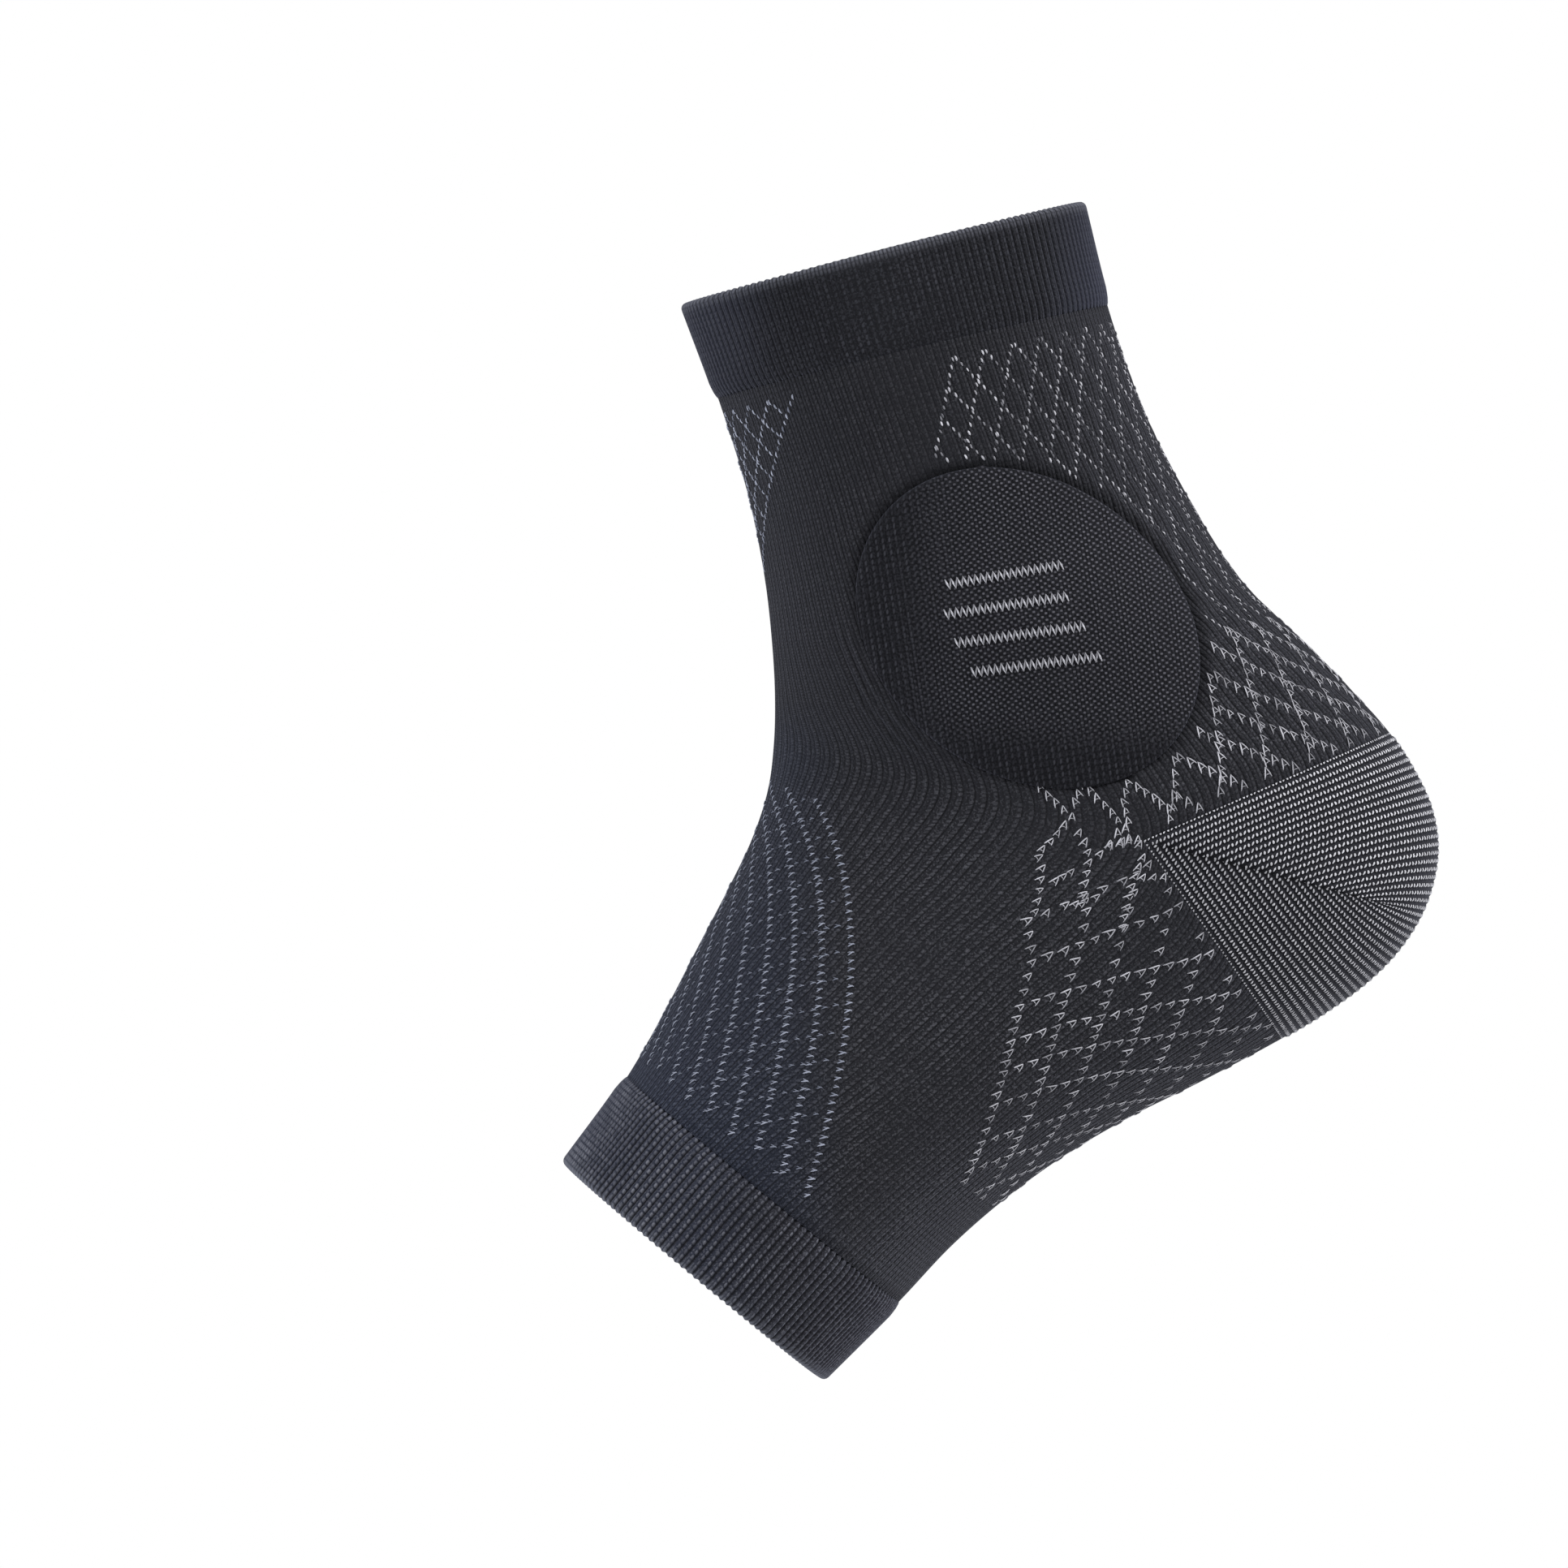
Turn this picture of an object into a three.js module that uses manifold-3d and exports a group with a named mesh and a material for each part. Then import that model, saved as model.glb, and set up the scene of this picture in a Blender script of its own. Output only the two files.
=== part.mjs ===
// An open-toed knitted compression sock for the ankle, in the rounded form that it keeps when worn.
// The origin is the centre of the ankle, midway between the two pads. The leg rises along +Z, the open
// toe end points towards -X and down, and the left side faces -Y.
import * as THREE from "three";
import { mergeVertices } from "three/addons/utils/BufferGeometryUtils.js";
import Module from "manifold-3d";

// Driving dimensions, in millimetres and degrees.
const legHeight = 78.9; // ankle centre to the leg opening
const legDepth = 80.9; // front to back at the leg opening
const ankleWidth = 71; // across the two ankle bones
const footLength = 139.4; // ankle centre to the foot opening, along the foot
const footDepth = 66; // instep to sole at the foot opening
const footWidth = 84; // across the foot at its opening
const footDrop = 35.8; // degrees that the foot points below the horizontal
const heelReach = 58.6; // side corner of the heel to its back
const heelTop = 9; // degrees that the heel's upper edge rises to the back
const heelSweep = 78; // degrees from the heel's upper edge round to its lower edge
const padLength = 72.4; // long axis of an ankle pad's oval outline, seen from the side
const padHeight = 57.4; // its short axis
const padTilt = -49.9; // degrees from the horizontal to its long axis
const bodyWall = 1.4; // knitted wall over the ankle and the foot
const padWall = 2.2; // thicker knit of the pads
const padRise = 0.7; // how far a pad stands proud of the body
const heelWall = 1.9; // reinforced knit of the heel
const heelRise = 0.3; // how far the heel stands proud of the body
const cuffWall = 2.2; // two layers of ribbed knit
const cuffRise = 0.8; // how far a cuff stands proud of the body
const ribCount = 144; // ribs round a cuff
const ribDepth = 0.35; // crest to groove
const seamGap = 0.3; // between neighbouring pieces

// Resolution of the faceted solids.
const turnsRound = 32; // points round a section
const rowsPerSection = 2; // rows from one section to the next
const padSegments = 36; // sides of a pad's outline

// Turns a table of named columns and rows of shares into a list of objects.
function table(columns, rows) {
  return rows.map((row) => Object.fromEntries(columns.map((name, i) => [name, row[i]])));
}

const sectionColumns = [
  "frontAlong", "front", "sideAlong", "side", "backAlong", "back", "width", "frontFull", "backFull",
];

// Sections down the leg, from the opening to just above the heel. Along is a share of legHeight above
// the ankle centre. Front, side and back are shares of legDepth towards the back. Width is a share of
// ankleWidth. Full is 2 for an elliptical quarter, more for a squarer one and less for a sharper one.
const legSections = table(sectionColumns, [
  [1.0, -0.613, 1.0, -0.106, 1.0, 0.387, 0.92, 2.1, 2.05],
  [0.75, -0.588, 0.744, -0.097, 0.733, 0.386, 0.9, 2.1, 2.0],
  [0.497, -0.576, 0.469, -0.073, 0.458, 0.409, 0.88, 2.1, 1.9],
  [0.286, -0.587, 0.248, -0.046, 0.242, 0.455, 0.92, 2.1, 1.8],
  [0.119, -0.61, 0.012, -0.003, -0.012, 0.535, 1.0, 2.05, 1.8],
  [-0.008, -0.635, -0.269, 0.066, -0.245, 0.672, 0.965, 2.05, 1.9],
]);

// The section where the leg turns into the foot. It runs from the bend of the instep to the heel's side
// corner, in the same shares as the sections of the leg. Its back is the heel's own outline.
const [heelLine] = table(
  ["frontAlong", "front", "sideAlong", "side", "width", "frontFull", "backFull"],
  [[-0.12, -0.666, -0.582, 0.14, 0.91, 2.05, 2.05]],
);

// The heel's outline, from its upper edge round to its lower edge. Sweep is a share of heelSweep and
// reach a share of heelReach, both from the side corner.
const heelOutline = table(["sweep", "reach"], [
  [0.0, 0.912],
  [0.108, 0.947],
  [0.218, 0.984],
  [0.33, 1.0],
  [0.46, 0.984],
  [0.58, 0.948],
  [0.7, 0.902],
  [0.85, 0.849],
  [1.0, 0.818],
]);

// Sections out along the foot, from just past the heel to the opening. Along is a share of footLength
// from the ankle centre. Front, side and back are shares of footDepth towards the sole. Width is a share
// of footWidth.
const footSections = table(sectionColumns, [
  [0.409, -0.286, 0.265, 0.675, 0.333, 1.265, 0.785, 2.05, 2.1],
  [0.476, -0.229, 0.41, 0.628, 0.438, 1.168, 0.81, 2.05, 2.1],
  [0.554, -0.187, 0.528, 0.598, 0.539, 1.092, 0.845, 2.05, 2.1],
  [0.641, -0.147, 0.635, 0.56, 0.634, 1.041, 0.885, 2.1, 2.1],
  [0.735, -0.103, 0.737, 0.509, 0.737, 1.006, 0.93, 2.1, 2.15],
  [0.848, -0.06, 0.847, 0.466, 0.846, 0.992, 0.97, 2.15, 2.15],
  [1.0, -0.038, 1.0, 0.458, 1.0, 0.962, 1.0, 2.15, 2.15],
]);

const radians = THREE.MathUtils.degToRad;
const footAlong = new THREE.Vector3(-Math.cos(radians(footDrop)), 0, -Math.sin(radians(footDrop)));
const footAcross = new THREE.Vector3(Math.sin(radians(footDrop)), 0, -Math.cos(radians(footDrop)));
const heelCorner = new THREE.Vector3(heelLine.side * legDepth, 0, heelLine.sideAlong * legHeight);

function legPoint(along, across, halfWidth = 0) {
  return new THREE.Vector3(across * legDepth, halfWidth, along * legHeight);
}

function footPoint(along, across, halfWidth = 0) {
  return new THREE.Vector3(0, halfWidth, 0)
    .addScaledVector(footAlong, along * footLength)
    .addScaledVector(footAcross, across * footDepth);
}

function heelPoint({ sweep, reach }) {
  const bearing = radians(heelTop - sweep * heelSweep);
  return new THREE.Vector3(Math.cos(bearing), 0, Math.sin(bearing))
    .multiplyScalar(reach * heelReach)
    .add(heelCorner);
}

// Smooth curves through the sections: the front outline, the widest points of the left side, the back
// outline, and how full the front and back quarters are. A curve's point i is its value at section i.
const legAndBend = [...legSections, heelLine];
const smooth = (points) => new THREE.CatmullRomCurve3(points, false, "centripetal");
const frontCurve = smooth([
  ...legAndBend.map((s) => legPoint(s.frontAlong, s.front)),
  ...footSections.map((s) => footPoint(s.frontAlong, s.front)),
]);
const sideCurve = smooth([
  ...legAndBend.map((s) => legPoint(s.sideAlong, s.side, (s.width * ankleWidth) / 2)),
  ...footSections.map((s) => footPoint(s.sideAlong, s.side, (s.width * footWidth) / 2)),
]);
const backCurve = smooth([
  ...legSections.map((s) => legPoint(s.backAlong, s.back)),
  ...heelOutline.map(heelPoint),
  ...footSections.map((s) => footPoint(s.backAlong, s.back)),
]);
const fullCurve = smooth(
  [...legAndBend, ...footSections].map((s) => new THREE.Vector3(s.frontFull, s.backFull, 0)),
);

// Stations count the sections from the leg opening, round the heel, to the foot opening. While the back
// outline goes round the heel, the front and the side stay at the bend.
const heelStart = legSections.length;
const heelEnd = heelStart + heelOutline.length - 1;
const lastStation = heelEnd + footSections.length;
const legCuffEnd = 1;
const footCuffStart = lastStation - 1;

const at = (curve, index) => curve.getPoint(index / (curve.points.length - 1));

function skinPoint(station, turn) {
  const pastHeel = Math.max(0, station - heelEnd);
  const bendStation = Math.min(station, heelStart) + pastHeel;
  const side = at(sideCurve, bendStation);
  const full = at(fullCurve, bendStation);
  const towardsFront = Math.cos(2 * Math.PI * turn);
  const towardsLeft = Math.sin(2 * Math.PI * turn);
  const inFront = towardsFront > 0;
  const end = inFront ? at(frontCurve, bendStation) : at(backCurve, station);
  const power = 2 / (inFront ? full.x : full.y);
  const reach = Math.abs(towardsFront) ** power;
  const width = Math.abs(towardsLeft) ** power;
  return new THREE.Vector3(
    side.x + (end.x - side.x) * reach,
    -Math.sign(towardsLeft) * side.y * width,
    side.z + (end.z - side.z) * reach,
  );
}

// The open skin through the given stations. Points that fall together, as at the heel's side corners,
// are one vertex, and faces that shrink to nothing are left out.
function skinSheet(stations, around) {
  const vertices = [];
  const triangles = [];
  const seen = new Map();
  const rows = stations.map((station) =>
    Array.from({ length: around }, (_, i) => {
      const turn = i / around;
      const point = skinPoint(station, turn);
      const key = point.toArray().map((x) => x.toFixed(4)).join();
      if (!seen.has(key)) {
        seen.set(key, vertices.length);
        vertices.push({ point, station, turn });
      }
      return seen.get(key);
    }),
  );
  for (let r = 0; r + 1 < rows.length; r++) {
    for (let i = 0; i < around; i++) {
      const next = (i + 1) % around;
      const [a, b, c, d] = [rows[r][i], rows[r][next], rows[r + 1][next], rows[r + 1][i]];
      if (a !== d && a !== c && c !== d) triangles.push([a, d, c]);
      if (a !== b && b !== c && a !== c) triangles.push([a, c, b]);
    }
  }
  return { vertices, triangles };
}

function meshGeometry(points, triangles) {
  const geometry = new THREE.BufferGeometry();
  geometry.setAttribute("position", new THREE.Float32BufferAttribute(points.flatMap((p) => p.toArray()), 3));
  geometry.setIndex(triangles.flat());
  return geometry;
}

// A function that gives the skin's points moved out along its normals, by a height for each vertex.
function lifter({ vertices, triangles }) {
  const skin = meshGeometry(vertices.map((v) => v.point), triangles);
  skin.computeVertexNormals();
  const normals = vertices.map((_, i) => new THREE.Vector3().fromBufferAttribute(skin.attributes.normal, i));
  return (height) => vertices.map((v, i) => v.point.clone().addScaledVector(normals[i], height(v)));
}

// Gives a skin its thickness: one sheet lifted out of it, one sunk below it, and a rim along each edge.
function wallOn({ vertices, triangles }, rise, depth) {
  const lifted = lifter({ vertices, triangles });
  const outer = lifted(() => rise);
  const inner = lifted(() => -depth);
  const count = vertices.length;
  const faces = [...triangles, ...triangles.map(([a, b, c]) => [a + count, c + count, b + count])];
  const edges = new Map();
  for (const [a, b, c] of triangles) {
    for (const [from, to] of [[a, b], [b, c], [c, a]]) edges.set(from + "," + to, [from, to]);
  }
  for (const [from, to] of edges.values()) {
    if (edges.has(to + "," + from)) continue;
    faces.push([to, from, from + count], [to, from + count, to + count]);
  }
  return meshGeometry([...outer, ...inner], faces);
}

// Stations from one to another, evenly divided between the sections.
function stationsBetween(start, end, perSection) {
  const count = Math.ceil((end - start) * perSection - 1e-9);
  return Array.from({ length: count + 1 }, (_, i) => start + ((end - start) * i) / count);
}

// Solid joins and cuts.
const wasm = await Module();
wasm.setup();

function solidOf(geometry) {
  const bare = geometry.clone();
  bare.deleteAttribute("normal");
  bare.deleteAttribute("uv");
  const merged = mergeVertices(bare, 1e-4);
  return new wasm.Manifold(
    new wasm.Mesh({
      numProp: 3,
      vertProperties: merged.attributes.position.array,
      triVerts: new Uint32Array(merged.index.array),
    }),
  );
}

function geometryOf(solid) {
  const mesh = solid.getMesh();
  const geometry = new THREE.BufferGeometry();
  geometry.setAttribute("position", new THREE.BufferAttribute(mesh.vertProperties, 3));
  geometry.setIndex(new THREE.BufferAttribute(mesh.triVerts, 1));
  return geometry;
}

// A prism along Y over an outline in the side view, from the middle plane out to one side or to both.
const prismReach = Math.max(ankleWidth, footWidth);
function sidePrism(shape, sides) {
  const geometry = new THREE.ExtrudeGeometry(shape, {
    depth: prismReach * sides.length,
    bevelEnabled: false,
    curveSegments: padSegments,
  });
  geometry.rotateX(Math.PI / 2);
  if (sides.includes("right")) geometry.translate(0, prismReach, 0);
  return solidOf(geometry);
}

// The oval outline of a pad, grown by a clearance.
function padPrism(side, grow) {
  const outline = new THREE.Shape();
  outline.absellipse(0, 0, padLength / 2 + grow, padHeight / 2 + grow, 0, 2 * Math.PI, false, radians(padTilt));
  return sidePrism(outline, [side]);
}

// The wedge of the heel between its two straight edges, grown by a clearance.
function heelPrism(grow) {
  const middle = radians(heelTop - heelSweep / 2);
  const half = radians(heelSweep / 2);
  const apex = new THREE.Vector2(Math.cos(middle), Math.sin(middle)).multiplyScalar(-grow / Math.sin(half));
  const corner = new THREE.Vector2(heelCorner.x, heelCorner.z).add(apex);
  const ray = (bearing) =>
    new THREE.Vector2(Math.cos(bearing), Math.sin(bearing)).multiplyScalar(2 * heelReach).add(corner);
  return sidePrism(new THREE.Shape([corner, ray(middle - half), ray(middle), ray(middle + half)]), ["left", "right"]);
}

// The share of the way from one station to the next that is seamGap long at the front.
function gapShare(station, neighbour) {
  return seamGap / skinPoint(station, 0).distanceTo(skinPoint(neighbour, 0));
}

// The main knitted skin lies between the cuffs. The body, the pads and the heel are cut from it.
const mainStart = legCuffEnd + gapShare(legCuffEnd, legCuffEnd + 1);
const mainEnd = footCuffStart - gapShare(footCuffStart, footCuffStart - 1);
const mainSkin = skinSheet(
  [
    ...stationsBetween(mainStart, heelStart, rowsPerSection),
    ...stationsBetween(heelStart, heelEnd, rowsPerSection - 1).slice(1),
    ...stationsBetween(heelEnd, mainEnd, rowsPerSection).slice(1),
  ],
  turnsRound,
);
const knitWall = (rise, thickness) => solidOf(wallOn(mainSkin, rise, thickness - rise));

function sockBody() {
  return knitWall(0, bodyWall)
    .subtract(heelPrism(seamGap))
    .subtract(padPrism("left", seamGap))
    .subtract(padPrism("right", seamGap));
}

function heelPocket() {
  return knitWall(heelRise, heelWall).intersect(heelPrism(0));
}

function anklePad(side) {
  return knitWall(padRise, padWall).intersect(padPrism(side, 0));
}

// A cuff is a doubled welt. Its outer layer is ribbed and rolls in a little at the rim.
const rimRoll = 0.45; // share of its rise that a cuff loses at the rim
const rollWidth = 0.09; // share of a cuff's height that the roll takes
function cuff(rim, seam) {
  const around = 2 * ribCount;
  const stations = [rim, rim + rollWidth * (seam - rim), seam];
  const downwards = rim < seam;
  const lifted = lifter(skinSheet(downwards ? stations : stations.toReversed(), around));
  const groove = ({ turn }) => (Math.round(turn * around) % 2 === 0 ? 0 : ribDepth);
  const rimLayer = lifted((v) => cuffRise * (1 - rimRoll) - groove(v));
  const outerLayer = lifted((v) => cuffRise - groove(v));
  const innerLayer = lifted(() => cuffRise - cuffWall);
  const rowOf = (k) => (downwards ? k : stations.length - 1 - k);
  const ring = (layer, k) => layer.slice(rowOf(k) * around, (rowOf(k) + 1) * around);
  const profile = [
    ring(rimLayer, 0), ring(outerLayer, 1), ring(outerLayer, 2), ring(innerLayer, 2), ring(innerLayer, 0),
  ];
  if (!downwards) profile.reverse();
  const faces = [];
  for (let k = 0; k < profile.length; k++) {
    for (let i = 0; i < around; i++) {
      const next = (i + 1) % around;
      const below = ((k + 1) % profile.length) * around;
      faces.push([k * around + i, below + i, below + next], [k * around + i, below + next, k * around + next]);
    }
  }
  return solidOf(meshGeometry(profile.flat(), faces));
}

// Yarns: charcoal over the leg, a bluer charcoal at the foot cuff, and grey plaited with charcoal at the heel.
const yarn = (color) => new THREE.MeshStandardMaterial({ color, roughness: 0.9, metalness: 0 });
const charcoal = yarn("#2b2b30");
const padCharcoal = yarn("#29292d");
const blueCharcoal = yarn("#31343f");
const heelGrey = yarn("#5c5c63");

const sock = new THREE.Group();
function knit(name, solid, material) {
  const piece = new THREE.Mesh(geometryOf(solid), material);
  piece.name = name;
  sock.add(piece);
}

knit("leg_cuff", cuff(0, legCuffEnd), charcoal);
knit("sock_body", sockBody(), charcoal);
knit("ankle_pad_left", anklePad("left"), padCharcoal);
knit("ankle_pad_right", anklePad("right"), padCharcoal);
knit("heel_pocket", heelPocket(), heelGrey);
knit("foot_cuff", cuff(lastStation, footCuffStart), blueCharcoal);

export default sock;
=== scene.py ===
import contextlib
import math

import bmesh
import bpy
import numpy as np
from mathutils import Matrix, Vector
from mathutils.bvhtree import BVHTree


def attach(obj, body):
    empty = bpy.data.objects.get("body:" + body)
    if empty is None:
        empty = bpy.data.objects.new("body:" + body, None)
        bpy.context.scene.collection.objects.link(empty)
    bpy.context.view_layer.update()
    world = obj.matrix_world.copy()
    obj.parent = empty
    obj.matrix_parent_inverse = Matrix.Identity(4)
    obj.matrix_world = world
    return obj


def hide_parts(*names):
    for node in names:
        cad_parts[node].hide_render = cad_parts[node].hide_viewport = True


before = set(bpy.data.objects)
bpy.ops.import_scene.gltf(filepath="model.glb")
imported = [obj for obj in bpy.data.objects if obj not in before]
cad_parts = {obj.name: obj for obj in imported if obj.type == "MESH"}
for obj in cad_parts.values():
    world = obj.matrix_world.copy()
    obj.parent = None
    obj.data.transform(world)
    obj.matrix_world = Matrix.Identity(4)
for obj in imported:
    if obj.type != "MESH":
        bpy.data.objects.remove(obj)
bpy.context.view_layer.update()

# The camera looks at the sock's left side from four metres away, level with the ankle. It is rolled a
# little, because the leg leans to the right in the photograph. All sizes are millimetres on the sock.
MM = 0.001
photo_width = 1932
photo_origin = (1265, 775)  # pixel of the ankle's centre
photo_pitch = 0.16  # millimetres on the sock to one pixel
photo_roll = math.radians(14.4)
view_centre = (-53.94, -17.7)  # x and z of the middle of the picture
camera_distance = 4000
sensor_width = 36

bpy.ops.object.camera_add(location=(view_centre[0] * MM, -camera_distance * MM, view_centre[1] * MM))
camera = bpy.context.object
camera.name = "camera"
camera.matrix_world = (
    Matrix.Translation(camera.location)
    @ Matrix.Rotation(photo_roll, 4, "Y")
    @ Matrix.Rotation(math.pi / 2, 4, "X")
)
camera.data.sensor_width = sensor_width
camera.data.lens = sensor_width * camera_distance / (photo_width * photo_pitch)
camera.data.clip_end = 20
bpy.context.scene.camera = camera


def from_photo(pixels):
    """The x and z in millimetres of pixels of the photograph."""
    right = (np.asarray(pixels, float)[..., 0] - photo_origin[0]) * photo_pitch
    up = (photo_origin[1] - np.asarray(pixels, float)[..., 1]) * photo_pitch
    c, s = math.cos(photo_roll), math.sin(photo_roll)
    return np.stack([right * c + up * s, up * c - right * s], -1)


def to_photo(points):
    """The pixel of the photograph where a point of the sock shows."""
    c, s = math.cos(photo_roll), math.sin(photo_roll)
    right = points[..., 0] * c - points[..., 2] * s
    up = points[..., 0] * s + points[..., 2] * c
    return np.stack([photo_origin[0] + right / photo_pitch, photo_origin[1] - up / photo_pitch], -1)


# The studio is a white room with a big cool softbox at the front of the leg, a whiter one behind the heel
# and a weak one above the camera. The sky that is seen is plain white. The one that lights is dimmer.
def softbox(name, place, size, watts, colour):
    """Adds an area light in metres that faces the sock."""
    bpy.ops.object.light_add(type="AREA", location=place)
    lamp = bpy.context.object
    lamp.name = name
    lamp.data.shape = "DISK"
    lamp.data.size = size
    lamp.data.energy = watts
    lamp.data.color = colour
    lamp.rotation_euler = (-Vector(place)).to_track_quat("-Z", "Y").to_euler()


softbox("front_light", (-1.7, -0.5, 0.8), 1.2, 25, (0.9, 0.94, 1.0))
softbox("heel_light", (1.6, -0.55, 0.85), 1.0, 36, (0.97, 0.98, 1.0))
softbox("camera_light", (-0.3, -2.0, 1.6), 1.6, 8, (1.0, 1.0, 1.0))

room = bpy.data.worlds.new("studio")
bpy.context.scene.world = room
room.use_nodes = True
sky = room.node_tree
sky.nodes.clear()
which_ray = sky.nodes.new("ShaderNodeLightPath")
either = sky.nodes.new("ShaderNodeMixShader")
sky.links.new(which_ray.outputs["Is Camera Ray"], either.inputs[0])
for inlet, sky_colour, strength in ((1, (0.96, 0.97, 1, 1), 0.55), (2, (1, 1, 1, 1), 1.0)):
    glow = sky.nodes.new("ShaderNodeBackground")
    glow.inputs["Color"].default_value = sky_colour
    glow.inputs["Strength"].default_value = strength
    sky.links.new(glow.outputs[0], either.inputs[inlet])
sky.links.new(either.outputs[0], sky.nodes.new("ShaderNodeOutputWorld").inputs[0])
bpy.context.scene.view_settings.view_transform = "Standard"

floor_drop = 0.62
bpy.ops.mesh.primitive_plane_add(size=9, location=(0, 0, -floor_drop))
floor = bpy.context.object
floor.name = "floor"
floor_paint = bpy.data.materials.new("floor_paint")
floor_paint.use_nodes = True
floor_paint.node_tree.nodes["Principled BSDF"].inputs["Base Color"].default_value = (0.9, 0.9, 0.9, 1)
floor_paint.node_tree.nodes["Principled BSDF"].inputs["Roughness"].default_value = 0.9
floor.data.materials.append(floor_paint)

# The knitted skin. The sock is knitted in one tube, so its form is one run of rings from the leg opening
# over the ankle, round the heel and out to the toes. Rings are counted by station: 0 to 6 down the leg,
# 6 to 14 round the heel's outline, 14 to 21 out along the foot. Each row below is one ring of the frame.
leg_height = 78.9  # ankle centre to the leg opening
leg_depth = 80.9
ankle_width = 71
foot_length = 139.4  # ankle centre to the foot opening
foot_depth = 66
foot_width = 84
foot_drop = math.radians(35.8)  # the foot points this far below the horizontal
heel_reach = 58.6  # side corner of the heel to its back
heel_top = 9  # degrees that the heel's upper edge rises
heel_sweep = 78  # degrees from the heel's upper edge round to its lower one
heel_start, heel_end, last_station = 6, 14, 21
leg_seam, foot_seam = 1, 20  # stations where the cuffs begin


def table(names, rows):
    """Named columns from rows of shares."""
    return dict(zip(names, np.array(rows, float).T))


ring_columns = (
    "front_along", "front", "side_along", "side", "back_along", "back", "width", "front_full", "back_full",
)
leg_rings = table(ring_columns, [
    [1.0, -0.613, 1.0, -0.106, 1.0, 0.387, 0.92, 2.1, 2.05],
    [0.75, -0.588, 0.744, -0.097, 0.733, 0.386, 0.9, 2.1, 2.0],
    [0.497, -0.576, 0.469, -0.073, 0.458, 0.409, 0.88, 2.1, 1.9],
    [0.286, -0.587, 0.248, -0.046, 0.242, 0.455, 0.92, 2.1, 1.8],
    [0.119, -0.61, 0.012, -0.003, -0.012, 0.535, 1.0, 2.05, 1.8],
    [-0.008, -0.635, -0.269, 0.066, -0.245, 0.672, 0.965, 2.05, 1.9],
])
bend_ring = table(
    ("front_along", "front", "side_along", "side", "width", "front_full", "back_full"),
    [[-0.12, -0.666, -0.582, 0.14, 0.91, 2.05, 2.05]],
)
heel_outline = table(("sweep", "reach"), [
    [0.0, 0.912], [0.108, 0.947], [0.218, 0.984], [0.33, 1.0], [0.46, 0.984],
    [0.58, 0.948], [0.7, 0.902], [0.85, 0.849], [1.0, 0.818],
])
foot_rings = table(ring_columns, [
    [0.409, -0.286, 0.265, 0.675, 0.333, 1.265, 0.785, 2.05, 2.1],
    [0.476, -0.229, 0.41, 0.628, 0.438, 1.168, 0.81, 2.05, 2.1],
    [0.554, -0.187, 0.528, 0.598, 0.539, 1.092, 0.845, 2.05, 2.1],
    [0.641, -0.147, 0.635, 0.56, 0.634, 1.041, 0.885, 2.1, 2.1],
    [0.735, -0.103, 0.737, 0.509, 0.737, 1.006, 0.93, 2.1, 2.15],
    [0.848, -0.06, 0.847, 0.466, 0.846, 0.992, 0.97, 2.15, 2.15],
    [1.0, -0.038, 1.0, 0.458, 1.0, 0.962, 1.0, 2.15, 2.15],
])


def on_leg(along, across, half_width=0.0):
    return np.stack([across * leg_depth, half_width + 0 * along, along * leg_height], -1)


def on_foot(along, across, half_width=0.0):
    c, s = math.cos(foot_drop), math.sin(foot_drop)
    x = across * foot_depth * s - along * foot_length * c
    z = -across * foot_depth * c - along * foot_length * s
    return np.stack([x, half_width + 0 * along, z], -1)


heel_corner = on_leg(bend_ring["side_along"], bend_ring["side"])[0]
heel_bearing = np.radians(heel_top - heel_outline["sweep"] * heel_sweep)
round_heel = heel_corner + heel_reach * heel_outline["reach"][:, None] * np.stack(
    [np.cos(heel_bearing), 0 * heel_bearing, np.sin(heel_bearing)], -1
)


def guide(edge, leg_half=0.0, foot_half=0.0, heel=()):
    """One guide line of the skin: down the leg, round the heel where it is given, and out along the foot."""
    leg = [
        on_leg(rows[edge + "_along"], rows[edge], rows["width"] * leg_half)
        for rows in (leg_rings, bend_ring) if edge in rows
    ]
    foot = on_foot(foot_rings[edge + "_along"], foot_rings[edge], foot_rings["width"] * foot_half)
    return np.concatenate([*leg, *heel, foot])


front_line = guide("front")
side_line = guide("side", ankle_width / 2, foot_width / 2)
back_line = guide("back", heel=[round_heel])
fullness = np.concatenate([
    np.stack([rings["front_full"], rings["back_full"]], -1) for rings in (leg_rings, bend_ring, foot_rings)
])


def along_line(line, where):
    """Points of the smooth centripetal curve through a line's points, counted by them."""
    p = np.vstack([2 * line[0] - line[1], line, 2 * line[-1] - line[-2]])
    i = np.clip(np.floor(where).astype(int), 0, len(p) - 4)
    t = (where - i)[..., None]
    p0, p1, p2, p3 = p[i], p[i + 1], p[i + 2], p[i + 3]
    d0, d1, d2 = [
        np.maximum(np.linalg.norm(b - a, axis=-1, keepdims=True), 1e-6) ** 0.5
        for a, b in ((p0, p1), (p1, p2), (p2, p3))
    ]
    t1 = ((p1 - p0) / d0 - (p2 - p0) / (d0 + d1) + (p2 - p1) / d1) * d1
    t2 = ((p2 - p1) / d1 - (p3 - p1) / (d1 + d2) + (p3 - p2) / d2) * d1
    return p1 + t1 * t + (3 * (p2 - p1) - 2 * t1 - t2) * t**2 + (2 * (p1 - p2) + t1 + t2) * t**3


def ring_at(station):
    """The ring of the front and side lines at a station. Round the heel it stays at the bend's."""
    return np.minimum(station, heel_start) + np.maximum(0, station - heel_end)


def both_sides(left):
    """Points over the left side, and their mirror back over the right."""
    return np.concatenate([left, left[-2::-1] * [1, -1, 1]])


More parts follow.
